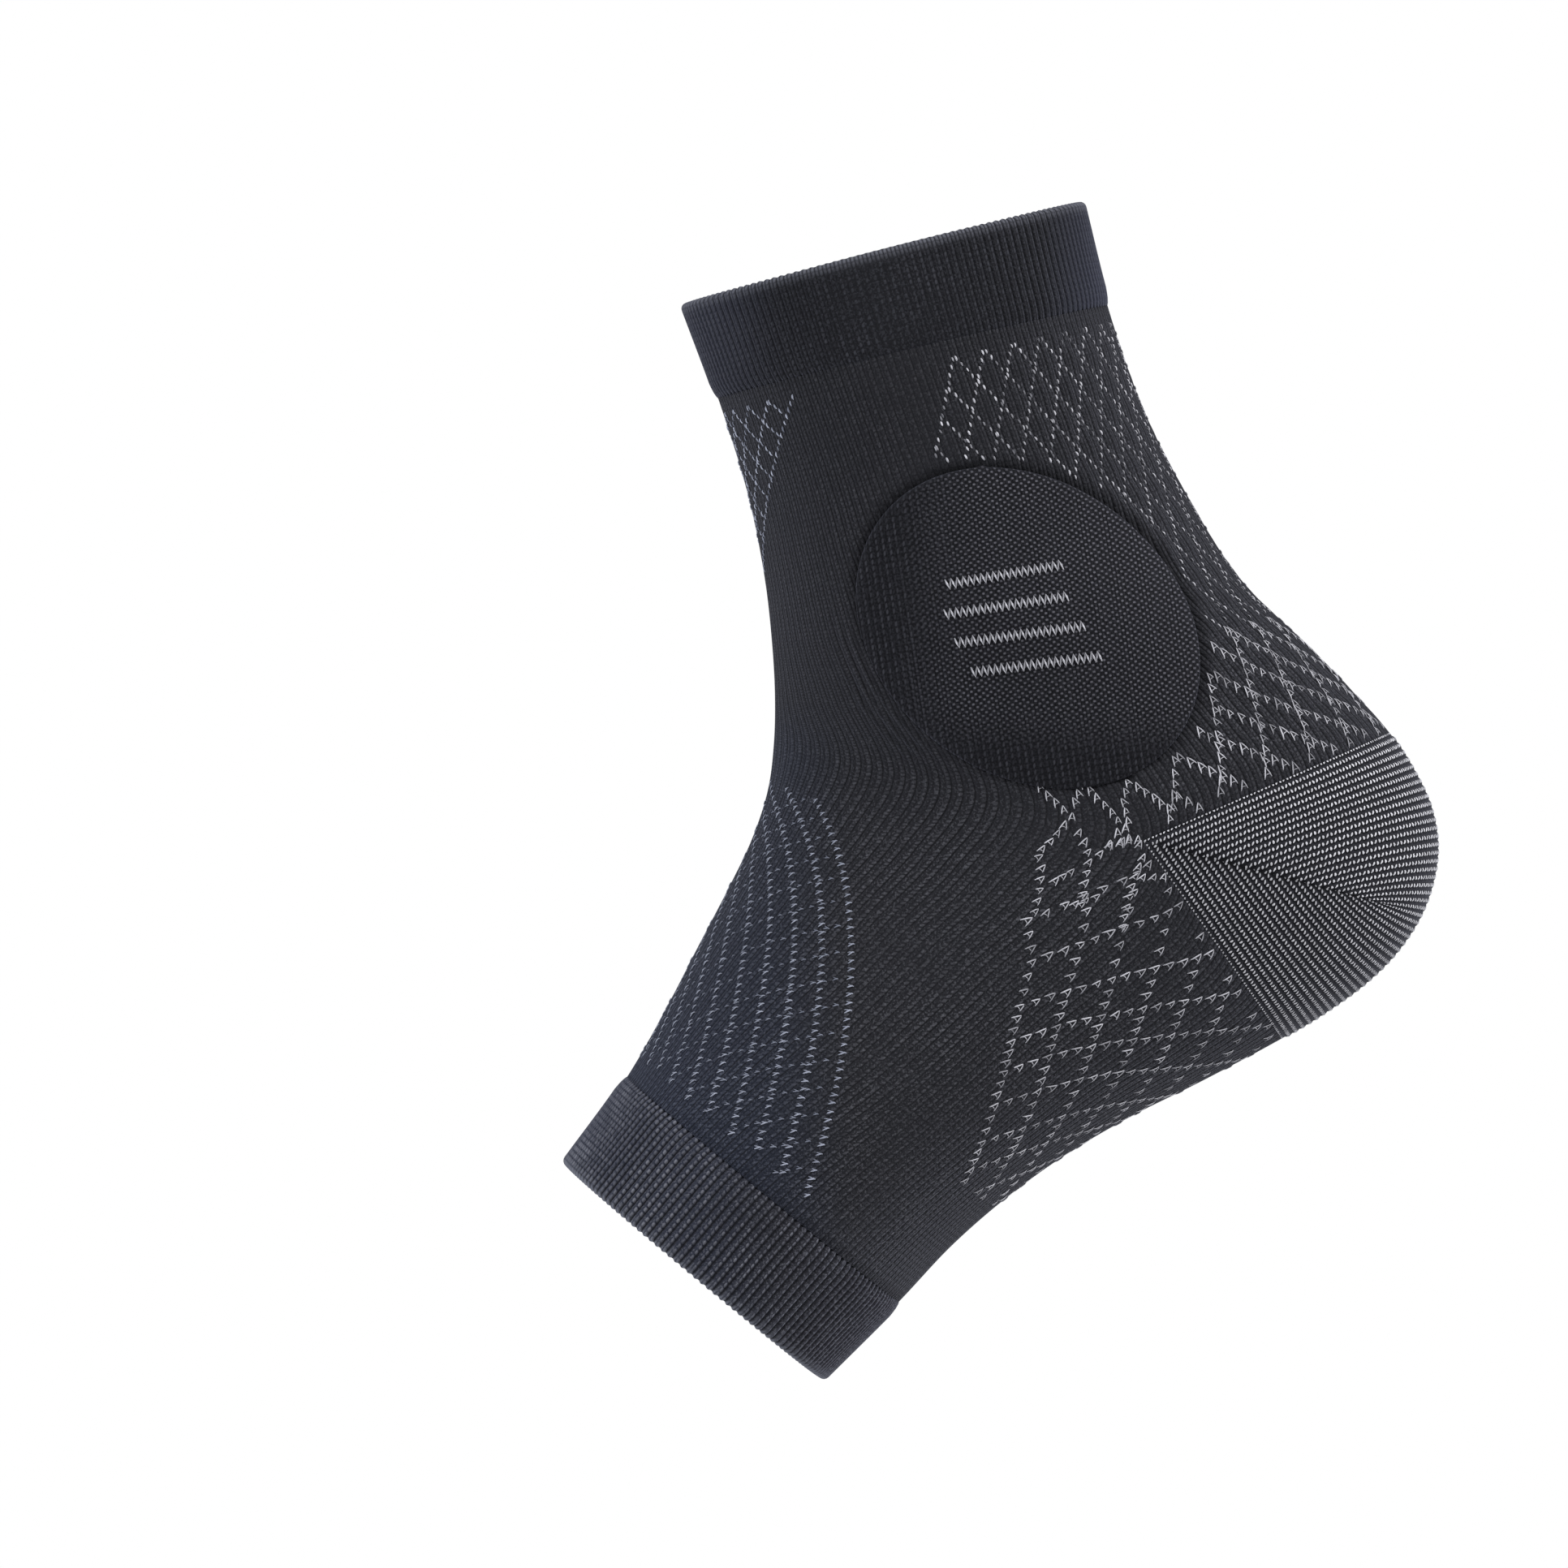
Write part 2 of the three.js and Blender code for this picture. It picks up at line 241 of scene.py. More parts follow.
def skin(station, turn):
    """Points of the skin. Turn runs from 0 at the front over the left side at 0.25 to the back at 0.5."""
    station, turn = np.broadcast_arrays(np.asarray(station, float), turn)
    at = ring_at(station)
    side, full = along_line(side_line, at), along_line(fullness, at)
    to_front, to_left = np.cos(2 * np.pi * turn), np.sin(2 * np.pi * turn)
    in_front = to_front > 0
    end = np.where(in_front[..., None], along_line(front_line, at), along_line(back_line, station))
    power = 2 / np.where(in_front, full[..., 0], full[..., 1])
    points = side + (end - side) * (np.abs(to_front) ** power)[..., None]
    points[..., 1] = -np.sign(to_left) * side[..., 1] * np.abs(to_left) ** power
    return points


def walk(path):
    """Length along a path at each of its points."""
    return np.r_[0, np.cumsum(np.linalg.norm(np.diff(path, axis=0), axis=1))]


def unit(vectors):
    return vectors / np.maximum(np.linalg.norm(vectors, axis=-1, keepdims=True), 1e-12)


def rings(stations, per_quarter):
    """Rings of points at the stations, evenly spaced over each quarter, with the first point met again."""
    found = []
    for station in stations:
        left = []
        for start in (0, 0.25):
            turns = np.linspace(start, start + 0.25, 200)
            length = walk(skin(station, turns))
            even = np.interp(np.linspace(0, length[-1], per_quarter + 1), length, turns)
            left.append(skin(station, even)[(1 if start else 0):])
        found.append(both_sides(np.concatenate(left)))
    return np.array(found)


def even_stations(start, end, count):
    """Stations that are evenly spaced along the side of the sock."""
    fine = np.linspace(start, end, 400)
    length = walk(along_line(side_line, ring_at(fine)))
    return np.interp(np.linspace(0, length[-1], count + 1), length, fine)


def round_way(rings_of_points):
    """The way along closed rings at each point."""
    wrapped = np.concatenate([rings_of_points[:, -2:-1], rings_of_points, rings_of_points[:, 1:2]], axis=1)
    return wrapped[:, 2:] - wrapped[:, :-2]


def outward(points, closed=True):
    """Unit normals of a sheet whose rows run down the sock and whose columns run round it."""
    across = round_way(points) if closed else np.gradient(points, axis=1)
    return unit(np.cross(np.gradient(points, axis=0), across))


def smoothly(value, low, high):
    """0 below low, 1 above high and a smooth step between."""
    share = np.clip((value - low) / (high - low), 0, 1)
    return share * share * (3 - 2 * share)


def on_sheet(points, column, row):
    """Points between a sheet's own points, at fractions of a column and a row."""
    column = np.clip(column, 0, points.shape[1] - 1.001)
    row = np.clip(row, 0, points.shape[0] - 1.001)
    c, r = column.astype(int), row.astype(int)
    fc, fr = (column - c)[:, None], (row - r)[:, None]
    upper = points[r, c] * (1 - fc) + points[r, c + 1] * fc
    return upper * (1 - fr) + (points[r + 1, c] * (1 - fc) + points[r + 1, c + 1] * fc) * fr


# The body. It is the fine-gauge tube between the cuffs, of charcoal yarn with grey lattice stitches at the
# tendon, the arch and the instep. It has 144 wales round, and its fabric bellies out in the tendon's cells.
wales_round = 144
columns_per_wale = 4
leg_courses, foot_courses = 94, 78
leg_rows, foot_rows_count = 72, 56
columns_round = wales_round * columns_per_wale
body_wall = 1.4
wale_relief = 0.06
pad_length, pad_height = 72.4, 57.4
pad_tilt = math.radians(-49.9)
pad_bed = 1.15  # how far the body sinks under a pad
groove_width = 1.1
cell_puff = 0.42
tendon_peak = (40.3, 2.8)  # wale and course of the first peak of the tendon's lattice
tendon_cell = (4.0, 10.2)  # wales across and courses along one of its cells
border_slope = 0.45  # wales to a course that the lattice's border runs forward


def from_pad(points):
    """Millimetres outside a pad's oval edge, less than 0 inside, and the bearing from its centre."""
    c, s = math.cos(pad_tilt), math.sin(pad_tilt)
    along = points[..., 0] * c + points[..., 2] * s
    across = points[..., 2] * c - points[..., 0] * s
    a, b = pad_length / 2, pad_height / 2
    share = np.sqrt((along / a) ** 2 + (across / b) ** 2)
    slope = np.sqrt((along / a**2) ** 2 + (across / b**2) ** 2)
    bearing = np.degrees(np.arctan2(points[..., 2], points[..., 0]))
    return share * (share - 1) / np.maximum(slope, 1e-6), bearing


def apart(bearing, other):
    """Degrees between two bearings."""
    return np.abs((bearing - other + 180) % 360 - 180)


def edge_strength(bearing):
    """How deep the groove round a pad is: full at its top and right, and soft at its lower left."""
    return 0.2 + 0.8 * smoothly(apart(bearing, -130), 50, 115)


leg_ring_at = even_stations(leg_seam + 0.003, heel_start, leg_rows)
foot_ring_at = even_stations(heel_end, foot_seam - 0.003, foot_rows_count)
leg_skin = rings(leg_ring_at, columns_round // 4)
foot_skin = rings(foot_ring_at, columns_round // 4)
leg_out, foot_out = outward(leg_skin), outward(foot_skin)
half_ring = columns_round // 2
# In front of the ankle the leg's last ring is the foot's first one.
shared = np.r_[0:half_ring // 2 + 1, half_ring * 3 // 2:columns_round + 1]
leg_out[-1, shared] = foot_out[0, shared] = unit(leg_out[-1, shared] + foot_out[0, shared])
body_skin = np.concatenate([leg_skin, foot_skin])
body_out = np.concatenate([leg_out, foot_out])
wale = np.broadcast_to(np.arange(columns_round + 1) / columns_per_wale, body_skin.shape[:2])
leg_course = np.linspace(0, leg_courses, leg_rows + 1)
foot_course = leg_courses + np.linspace(0, foot_courses, foot_rows_count + 1)
course = np.broadcast_to(np.r_[leg_course, foot_course][:, None], body_skin.shape[:2])
left_wale = np.where(wale > wales_round / 2, wales_round - wale, wale)  # the right side mirrors the left

past_edge, pad_bearing = from_pad(body_skin)
middle_strip = 8  # from the middle to where the sides, and so the pads, begin
far_off = 99
past_edge = np.where(np.abs(body_skin[..., 1]) > middle_strip, past_edge, far_off)
bed = np.where(past_edge < 0, 1.0, np.exp(-((np.maximum(past_edge, 0) / groove_width) ** 2)))
bed = bed * np.where(past_edge < -0.2, 1, edge_strength(pad_bearing))
# Low waves of the fabric follow the pad's edge at its lower front.
wave_height, wave_pitch = 0.16, 1.9
soft_ribs = wave_height * np.cos(2 * np.pi * past_edge / wave_pitch) * (past_edge > 0.9) * (past_edge < 6.5)
soft_ribs = soft_ribs * smoothly(-apart(pad_bearing, -165), -40, -15)

tendon_phase = (left_wale - tendon_peak[0]) / tendon_cell[0]
tendon_run = (course - tendon_peak[1]) / tendon_cell[1]
cells = (np.sin(np.pi * (tendon_phase + tendon_run)) * np.sin(np.pi * (tendon_phase - tendon_run))) ** 2
in_tendon = smoothly(left_wale - (tendon_peak[0] - border_slope * (course - tendon_peak[1])), -1, 1)
in_tendon = in_tendon * smoothly(past_edge, 0.5, 3) * smoothly(course, 2, 4) * (1 - smoothly(course, 84, 93))
in_tendon = in_tendon * smoothly(left_wale, 34, 37) * (1 - 0.6 * smoothly(left_wale, 62, 70))
body_height = -wale_relief * np.cos(2 * np.pi * wale) * (past_edge > 0) - pad_bed * bed + soft_ribs
body_height = body_height + cell_puff * (cells - 0.3) * in_tendon


def lay_sheet(name, points, wales, courses, **marks):
    """Adds a grid, lays its corners on the points, maps it by wales and courses and keeps the marks on it."""
    rows, columns = points.shape[:2]
    bpy.ops.object.select_all(action="DESELECT")
    bpy.ops.mesh.primitive_grid_add(x_subdivisions=columns - 1, y_subdivisions=rows - 1, size=1)
    sheet = bpy.context.object
    sheet.name = sheet.data.name = name
    mesh = sheet.data
    assert len(mesh.vertices) == rows * columns
    mesh.vertices.foreach_set("co", (points * MM).ravel())
    corners = np.empty(len(mesh.loops), int)
    mesh.loops.foreach_get("vertex_index", corners)
    grain = np.stack(np.broadcast_arrays(wales, courses), -1).reshape(-1, 2)
    mesh.uv_layers.active.data.foreach_set("uv", grain[corners].astype(np.float32).ravel())
    for mark, values in marks.items():
        kept = mesh.attributes.new(mark, "FLOAT", "POINT")
        kept.data.foreach_set("value", np.broadcast_to(values, (rows, columns)).astype(np.float32).ravel())
    mesh.update()
    return sheet


def edge_loops(shape):
    """The open edges of a mesh, as lists that each run round one opening."""
    left = {edge for edge in shape.edges if edge.is_boundary}
    loops = []
    while left:
        loop, reach = [], [next(iter(left))]
        left.discard(reach[0])
        while reach:
            edge = reach.pop()
            loop.append(edge)
            for corner in edge.verts:
                for other in corner.link_edges:
                    if other in left:
                        left.discard(other)
                        reach.append(other)
        loops.append(loop)
    return loops


@contextlib.contextmanager
def mend(mesh):
    """Opens a mesh for a change of its shape and puts the change back."""
    shape = bmesh.new()
    shape.from_mesh(mesh)
    yield shape
    shape.to_mesh(mesh)
    shape.free()


def pick(*pieces):
    """Selects pieces, with the last one active."""
    bpy.ops.object.select_all(action="DESELECT")
    for piece in pieces:
        piece.select_set(True)
        bpy.context.view_layer.objects.active = piece


merge_distance = 2e-6


def close_wall(outer, inner, openings=(None, None)):
    """Joins the two faces of a knitted wall and closes their edges. An opening is a row and its columns."""
    for sheet, opening in zip((outer, inner), openings):
        with mend(sheet.data) as shape:
            if opening:
                row, columns = opening
                shape.faces.ensure_lookup_table()
                strip = shape.faces[row * columns:(row + 1) * columns]
                bmesh.ops.delete(shape, geom=strip, context="FACES_KEEP_BOUNDARY")
            bmesh.ops.remove_doubles(shape, verts=shape.verts, dist=merge_distance)
    pick(inner, outer)
    bpy.ops.object.join()
    with mend(outer.data) as shape:
        loops = sorted(edge_loops(shape), key=len, reverse=True)
        middle = {id(loop): sum((edge.verts[0].co for edge in loop), Vector()) / len(loop) for loop in loops}
        inner_loops = loops[len(loops) // 2:]
        for loop in loops[:len(loops) // 2]:
            mate = min(inner_loops, key=lambda other: (middle[id(other)] - middle[id(loop)]).length)
            inner_loops.remove(mate)
            bmesh.ops.bridge_loops(shape, edges=loop + mate)
        bmesh.ops.recalc_face_normals(shape, faces=shape.faces)
    bpy.ops.object.shade_smooth()
    return outer


def fit_piece(piece, material, slot, *nodes):
    """Gives a piece its material, hangs it on the root, and hides the nodes of the frame that it stands for.
    Its slot is not used.
    """
    piece.data.materials.clear()
    piece.data.materials.append(material)
    piece.select_set(False)
    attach(piece, "root")
    if nodes:
        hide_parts(*nodes)


body_points = body_skin + body_out * body_height[..., None]
body_depth = np.where(past_edge < 0, body_wall + 0.2, body_wall)
# The blue mark: bluer towards the toes, and a painted cool sheen along the front as the camera sees it. The
# lit mark sets how strong the painted highlights are.
toward_toes = smoothly(-body_skin[..., 0], 55, 120)
in_front = smoothly(-to_photo(body_skin)[..., 0], -1060, -940)
in_front = in_front * smoothly(course, leg_courses - 25, leg_courses + 5)
lit_foot = smoothly(course, leg_courses - 20, leg_courses + 25)
body = lay_sheet(
    "sock_body_knit", body_points, wale, course,
    blue=np.clip(toward_toes * 0.6 + in_front * 0.5, 0, 1),
    shade=np.clip(bed * (past_edge > -0.6), 0, 1) * edge_strength(pad_bearing),
    lit=0.45 + 0.55 * lit_foot + 0.35 * in_tendon * (1 - smoothly(cells, 0.1, 0.6)),
)
inner_rows = np.r_[0:leg_rows + 1:2, leg_rows + 1:leg_rows + foot_rows_count + 2:2]
inner_grid = np.ix_(inner_rows, np.arange(0, columns_round + 1, columns_per_wale))
body_inside = lay_sheet(
    "sock_body_inside", (body_skin - body_out * body_depth[..., None])[inner_grid], wale[inner_grid],
    course[inner_grid], blue=0, shade=0, lit=0.5,
)
body = close_wall(body, body_inside, ((leg_rows, columns_round), (leg_rows // 2, wales_round)))


def linear(red, green, blue):
    """A colour from its screen values, 0 to 255."""
    return tuple((value / 255) ** 2.2 for value in (red, green, blue)) + (1,)


def join(tree, value, inlet):
    """Sets a socket to a number or a colour, or links what makes its value to it."""
    if isinstance(value, Number):
        tree.links.new(value.outlet, inlet)
    elif isinstance(value, bpy.types.NodeSocket):
        tree.links.new(value, inlet)
    else:
        inlet.default_value = value


class Number:
    """A value that varies over the knit. A sum with it adds a node to its tree."""

    def __init__(self, tree, outlet):
        self.tree, self.outlet = tree, outlet

    def math(self, operation, *others):
        node = self.tree.nodes.new("ShaderNodeMath")
        node.operation = operation
        for inlet, value in zip(node.inputs, (self, *others)):
            join(self.tree, value, inlet)
        return Number(self.tree, node.outputs[0])

    def __add__(self, other):
        return self.math("ADD", other)

    def __sub__(self, other):
        return self.math("SUBTRACT", other)

    def __rsub__(self, other):
        return self.math("MULTIPLY_ADD", -1, other)

    def __mul__(self, other):
        return self.math("MULTIPLY", other)

    def __truediv__(self, other):
        return self.math("DIVIDE", other)

    def step(self, low, high):
        """A smooth step from low to high."""
        ramp = self.tree.nodes.new("ShaderNodeMapRange")
        ramp.interpolation_type = "SMOOTHSTEP"
        for inlet, value in zip(ramp.inputs, (self, low, high)):
            join(self.tree, value, inlet)
        return Number(self.tree, ramp.outputs[0])


def cell_noise(first, second):
    """A random number for each cell of two whole numbers."""
    tree = first.tree
    pair = tree.nodes.new("ShaderNodeCombineXYZ")
    join(tree, first, pair.inputs[0])
    join(tree, second, pair.inputs[1])
    dice = tree.nodes.new("ShaderNodeTexWhiteNoise")
    dice.noise_dimensions = "2D"
    join(tree, pair.outputs[0], dice.inputs["Vector"])
    return Number(tree, dice.outputs["Value"])


def new_group(name, inputs, outputs):
    """A shader node group with named number sockets."""
    group = bpy.data.node_groups.new(name, "ShaderNodeTree")
    for socket, value in inputs.items():
        inlet = group.interface.new_socket(socket, in_out="INPUT", socket_type="NodeSocketFloat")
        inlet.default_value = value
    for socket in outputs:
        group.interface.new_socket(socket, in_out="OUTPUT", socket_type="NodeSocketFloat")
    given = group.nodes.new("NodeGroupInput").outputs
    given = {socket: Number(group, given[socket]) for socket in inputs}
    return group, given, group.nodes.new("NodeGroupOutput").inputs


# Plain knit: each stitch is a V of two slanting legs, and only one leg of it catches the light. That leg gets
# a painted highlight.
knit_loops, given, made = new_group(
    "knit_loops", {"Wales": 0, "Courses": 0, "Slant": 0.7}, ("Height", "Lit_leg_highlight", "Line")
)
in_wale = given["Wales"].math("FRACT") - 0.5
from_middle = in_wale.math("ABSOLUTE")
slanted = from_middle * given["Slant"] + given["Courses"]
leg_across = (from_middle - 0.25) * 4
leg_along = slanted.math("FRACT") * 2 - 1
leg_round = 1 - leg_across * leg_across
leg_swell = 1 - leg_along * leg_along
leg_dice = cell_noise(given["Wales"].math("FLOOR"), slanted.math("FLOOR"))
lit_leg = (leg_round * leg_swell).step(0.3, 0.75) * in_wale.math("GREATER_THAN", 0)
join(knit_loops, leg_round * (leg_swell * 0.6 + 0.4), made["Height"])
join(knit_loops, lit_leg * (leg_dice * 0.8 + 0.3), made["Lit_leg_highlight"])
# Painted shade in the groove between two wales.
join(knit_loops, from_middle.step(0.36, 0.48), made["Line"])

# Yarn: a slow change of tone over the fabric and a fine fuzz of fibres.
yarn_tone, given, made = new_group("yarn_tone", {"Patches": 60, "Fibres": 2600}, ("Patch", "Fuzz"))
on_piece = yarn_tone.nodes.new("ShaderNodeTexCoord").outputs["Object"]
for scale, outlet in (("Patches", "Patch"), ("Fibres", "Fuzz")):
    noise = yarn_tone.nodes.new("ShaderNodeTexNoise")
    join(yarn_tone, on_piece, noise.inputs["Vector"])
    join(yarn_tone, given[scale], noise.inputs["Scale"])
    join(yarn_tone, 2, noise.inputs["Detail"])
    join(yarn_tone, noise.outputs[0], made[outlet])

cool_sheen = (0.77, 0.79, 1, 1)


class Cloth:
    """A knit material in the making: its tree, shader, wales and courses, and the tone of its yarn."""

    def __init__(self, name, sheen, fibres=2600):
        self.material = bpy.data.materials.new(name)
        self.material.use_nodes = True
        self.tree = self.material.node_tree
        self.shader = self.tree.nodes["Principled BSDF"]
        for socket, value in (
            ("Roughness", 0.85), ("Specular IOR Level", 0.12),
            ("Sheen Weight", sheen), ("Sheen Roughness", 0.45), ("Sheen Tint", cool_sheen),
        ):
            self.shader.inputs[socket].default_value = value
        chart = self.tree.nodes.new("ShaderNodeUVMap")
        chart.uv_map = "UVMap"
        parts = self.tree.nodes.new("ShaderNodeSeparateXYZ")
        join(self.tree, chart.outputs[0], parts.inputs[0])
        self.wales, self.courses = (Number(self.tree, parts.outputs[axis]) for axis in (0, 1))
        tone = self.group(yarn_tone, Fibres=fibres)
        self.patch, self.fuzz = tone["Patch"], tone["Fuzz"]

    def group(self, group, **values):
        placed = self.tree.nodes.new("ShaderNodeGroup")
        placed.node_tree = group
        for name, value in values.items():
            join(self.tree, value, placed.inputs[name])
        return {outlet.name: Number(self.tree, outlet) for outlet in placed.outputs}

    def mark(self, name):
        found = self.tree.nodes.new("ShaderNodeAttribute")
        found.attribute_name = name
        return Number(self.tree, found.outputs["Fac"])

    def blend(self, share, first, second):
        """Mixes two colours by a share. Each is three screen values or the outcome of another mix."""
        mix = self.tree.nodes.new("ShaderNodeMix")
        mix.data_type = "RGBA"
        join(self.tree, share, mix.inputs[0])
        for inlet, colour in ((mix.inputs[6], first), (mix.inputs[7], second)):
            join(self.tree, linear(*colour) if isinstance(colour, tuple) else colour, inlet)
        return mix.outputs[2]

    def finish(self, colour, height, depth):
        """Sets the colour, and a bump whose full height is depth in millimetres."""
        join(self.tree, colour, self.shader.inputs["Base Color"])
        bump = self.tree.nodes.new("ShaderNodeBump")
        for socket, value in (("Strength", 1), ("Distance", depth * MM), ("Height", height)):
            join(self.tree, value, bump.inputs[socket])
        join(self.tree, bump.outputs[0], self.shader.inputs["Normal"])
        return self.material


# The body's yarn is charcoal. It is bluer towards the toes, and a painted cool sheen lies along its front as
# the camera sees it. A leg of a stitch that catches the light gets a painted highlight, and painted shade
# runs as a dark hairline in the groove between two wales.
cloth = Cloth("charcoal_knit", 0.08)
loops = cloth.group(knit_loops, Wales=cloth.wales, Courses=cloth.courses)
speckle_and_highlight = (cloth.fuzz.step(0.5, 0.68) * 0.45 + loops["Lit_leg_highlight"] * 0.36) * (cloth.patch * 1.2 + 0.3)
base = cloth.blend(cloth.mark("blue"), (34, 34, 37), (34, 38, 49))
lit_yarn = cloth.blend(cloth.mark("blue"), (88, 88, 93), (78, 83, 97))
colour = cloth.blend(speckle_and_highlight * cloth.mark("lit"), base, lit_yarn)
colour = cloth.blend(loops["Line"] * (cloth.patch * 1.4 - 0.1), colour, (17, 17, 18.5))
colour = cloth.blend(cloth.mark("shade") * 0.65, colour, (12, 12, 14))
charcoal_knit = cloth.finish(colour, loops["Height"] + cloth.fuzz * 0.25, 0.28)
fit_piece(body, charcoal_knit, "charcoal_knit", "sock_body")

# The lattice. Stitches of pale grey yarn lie on the body in crossing lines at the tendon, the shin, the
# arch and the instep. Each is a short loop whose ends go under the fabric. The right side mirrors the left.
def strand(path, radius, up, sides=4):
    """The corners and faces of a strand of yarn along a path, drawn in at both ends."""
    path = np.array(path, float)
    way = unit(np.gradient(path, axis=0))
    side = unit(np.cross(way, up))
    top = np.cross(side, way)
    turn = (2 * np.pi * np.arange(sides) / sides)[:, None]
    girth = np.full(len(path), radius)
    girth[[0, -1]] *= 0.6
    around = side[:, None] * np.cos(turn) + top[:, None] * np.sin(turn)
    corners = (path[:, None] + around * girth[:, None, None]).reshape(-1, 3)
    faces = []
    for ring in range(len(path) - 1):
        for i in range(sides):
            following = (i + 1) % sides
            faces.append([ring * sides + i, ring * sides + following,
                          (ring + 1) * sides + following, (ring + 1) * sides + i])
    last = (len(path) - 1) * sides
    return corners, faces + [list(range(sides))[::-1], list(range(last, last + sides))]


def stitch_of(*strands):
    """One stitch of strands, each a path, a radius and a paleness. It lies flat, with its top up the leg."""
    corners, faces, pale = [], [], []
    for path, radius, paleness in strands:
        more, sides = strand(path, radius, (0, 0, 1))
        faces += [[i + len(pale) for i in face] for face in sides]
        corners.append(more)
        pale += [paleness] * len(more)
    return np.concatenate(corners), np.array(faces), np.array(pale)


yarn_flatness = 0.62  # the stitches are pulled flat on the fabric
stray = 0.07  # how far a stitch is out of its line
a_stitch = stitch_of(
    ([(-0.86, -1.15, -0.1), (-0.62, -0.5, 0.22), (-0.24, 0.5, 0.24), (0.1, 1.2, -0.1)], 0.15, 1.0),
    ([(0.78, -1.0, -0.1), (0.58, -0.3, 0.2), (0.34, 0.45, 0.2), (0.1, 1.15, -0.1)], 0.125, 0.8),
    ([(-0.62, -0.42, 0.1), (-0.05, -0.3, 0.24), (0.54, -0.38, 0.1)], 0.1, 0.7),
)
tick = stitch_of(
    ([(-0.06, -0.78, -0.1), (0, -0.2, 0.22), (0.02, 0.45, 0.22), (0.2, 0.72, -0.1)], 0.155, 1.0),
    ([(-0.62, -0.42, -0.1), (-0.4, -0.1, 0.18), (-0.16, 0.2, 0.18), (0.04, 0.5, 0.1)], 0.11, 0.7),
)
short_tick = stitch_of(
    ([(0.06, -0.55, -0.1), (0, -0.2, 0.22), (-0.04, 0.2, 0.22), (-0.1, 0.5, -0.1)], 0.2, 1.0),
)


def on_body(wales, courses):
    """Places on the left of the body, its normals there, and the ways towards the leg opening."""
    wales, courses = np.asarray(wales, float), np.asarray(courses, float)
    on_the_leg = courses < leg_courses
    row = np.where(
        on_the_leg, courses * leg_rows / leg_courses,
        leg_rows + 1 + (courses - leg_courses) * foot_rows_count / foot_courses,
    )
    column = np.abs(wales) * columns_per_wale
    ahead = on_sheet(body_points, column, np.where(on_the_leg, row - 1, row))
    behind = on_sheet(body_points, column, np.where(on_the_leg, row, row + 1))
    return on_sheet(body_points, column, row), unit(on_sheet(body_out, column, row)), unit(ahead - behind)


def spaced(wales, courses, spacing):
    """Wales and courses at even spaces along a run over the body."""
    length = walk(on_body(wales, courses)[0])
    at = np.arange(spacing / 2, length[-1], spacing)
    return np.interp(at, length, wales), np.interp(at, length, courses)


def spots_of(runs, spacing, lean=0.0, follow=0.0):
    """Places, normals and headings along runs. Headings follow the run by a share and lean by an angle."""
    spots = []
    for wales, courses in runs:
        wales, courses = spaced(wales, courses, spacing)
        if len(wales) < 2:
            continue
        place, out, way = on_body(wales, courses)
        run_way = unit(np.gradient(place, axis=0))
        run_way = run_way * np.sign((run_way * way).sum(-1, keepdims=True))
        way = unit(way * (1 - follow) + run_way * follow)
        way = way * math.cos(lean) + np.cross(way, out) * math.sin(lean)
        spots.append((place, out, way))
    return [np.concatenate(parts) for parts in zip(*spots)]


def sew(name, kind, spots, seed, paleness=1.0, size=1.0, vary=(0.7, 1.1)):
    """Sews a stitch at each spot and its mirror on the right, all in one mesh."""
    corners, faces, pale = kind
    place, out, way = spots
    dice = np.random.default_rng(seed)
    count = len(place)
    tilt = dice.normal(0, 0.1, count)[:, None]
    scale = size * (1 + dice.normal(0, 0.07, count))[:, None, None]
    across = unit(np.cross(way, out))
    way = unit(np.cross(out, across))
    place = place + across * dice.normal(0, stray, count)[:, None]
    way, across = way * np.cos(tilt) + across * np.sin(tilt), across * np.cos(tilt) - way * np.sin(tilt)
    local = corners[None] * scale
    left = place[:, None] + across[:, None] * local[..., :1] + way[:, None] * local[..., 1:2]
    left = (left + out[:, None] * local[..., 2:] * yarn_flatness).reshape(-1, 3)
    left_faces = (faces[None] + (np.arange(count) * len(corners))[:, None, None]).reshape(-1, faces.shape[1])
    shares = (pale[None] * paleness * dice.uniform(*vary, count)[:, None]).ravel()
    return lay_yarn(name, [(left, left_faces.tolist(), shares)])


def lay_yarn(name, strands):
    """One mesh of yarn from corners, faces and palenesses on the left, and their mirror on the right."""
    corners, faces, pale = [], [], []
    start = 0
    for left_corners, sides, shares in strands:
        for mirror in (1, -1):
            faces += [[start + i for i in face[::mirror]] for face in sides]
            corners.append(left_corners * [1, mirror, 1])
            pale.append(shares)
            start += len(left_corners)
    mesh = bpy.data.meshes.new(name)
    mesh.from_pydata((np.concatenate(corners) * MM).tolist(), [], faces)
    paleness = mesh.attributes.new("pale", "FLOAT", "POINT")
    paleness.data.foreach_set("value", np.concatenate(pale).astype(np.float32))
    yarn = bpy.data.objects.new(name, mesh)
    bpy.context.collection.objects.link(yarn)
    with mend(mesh) as shape:
        bmesh.ops.recalc_face_normals(shape, faces=shape.faces)
    mesh.shade_smooth()
    return yarn


def pale_yarn(name, dark, light):
    """Soft grey yarn, with painted shade in its hollows where its pale mark is low, and fuzzy all over."""
    cloth = Cloth(name, 0.05, fibres=1800)
    share = cloth.mark("pale") * (cloth.fuzz * 0.7 + 0.6)
    return cloth.finish(cloth.blend(share, dark, light), cloth.fuzz, 0.12)


def spans(wales, courses, kept):
    """The stretches of a run where it is kept."""
    edges = np.flatnonzero(np.diff(np.r_[0, kept.astype(int), 0]))
    return [(wales[a:b], courses[a:b]) for a, b in zip(edges[::2], edges[1::2]) if b - a > 3]


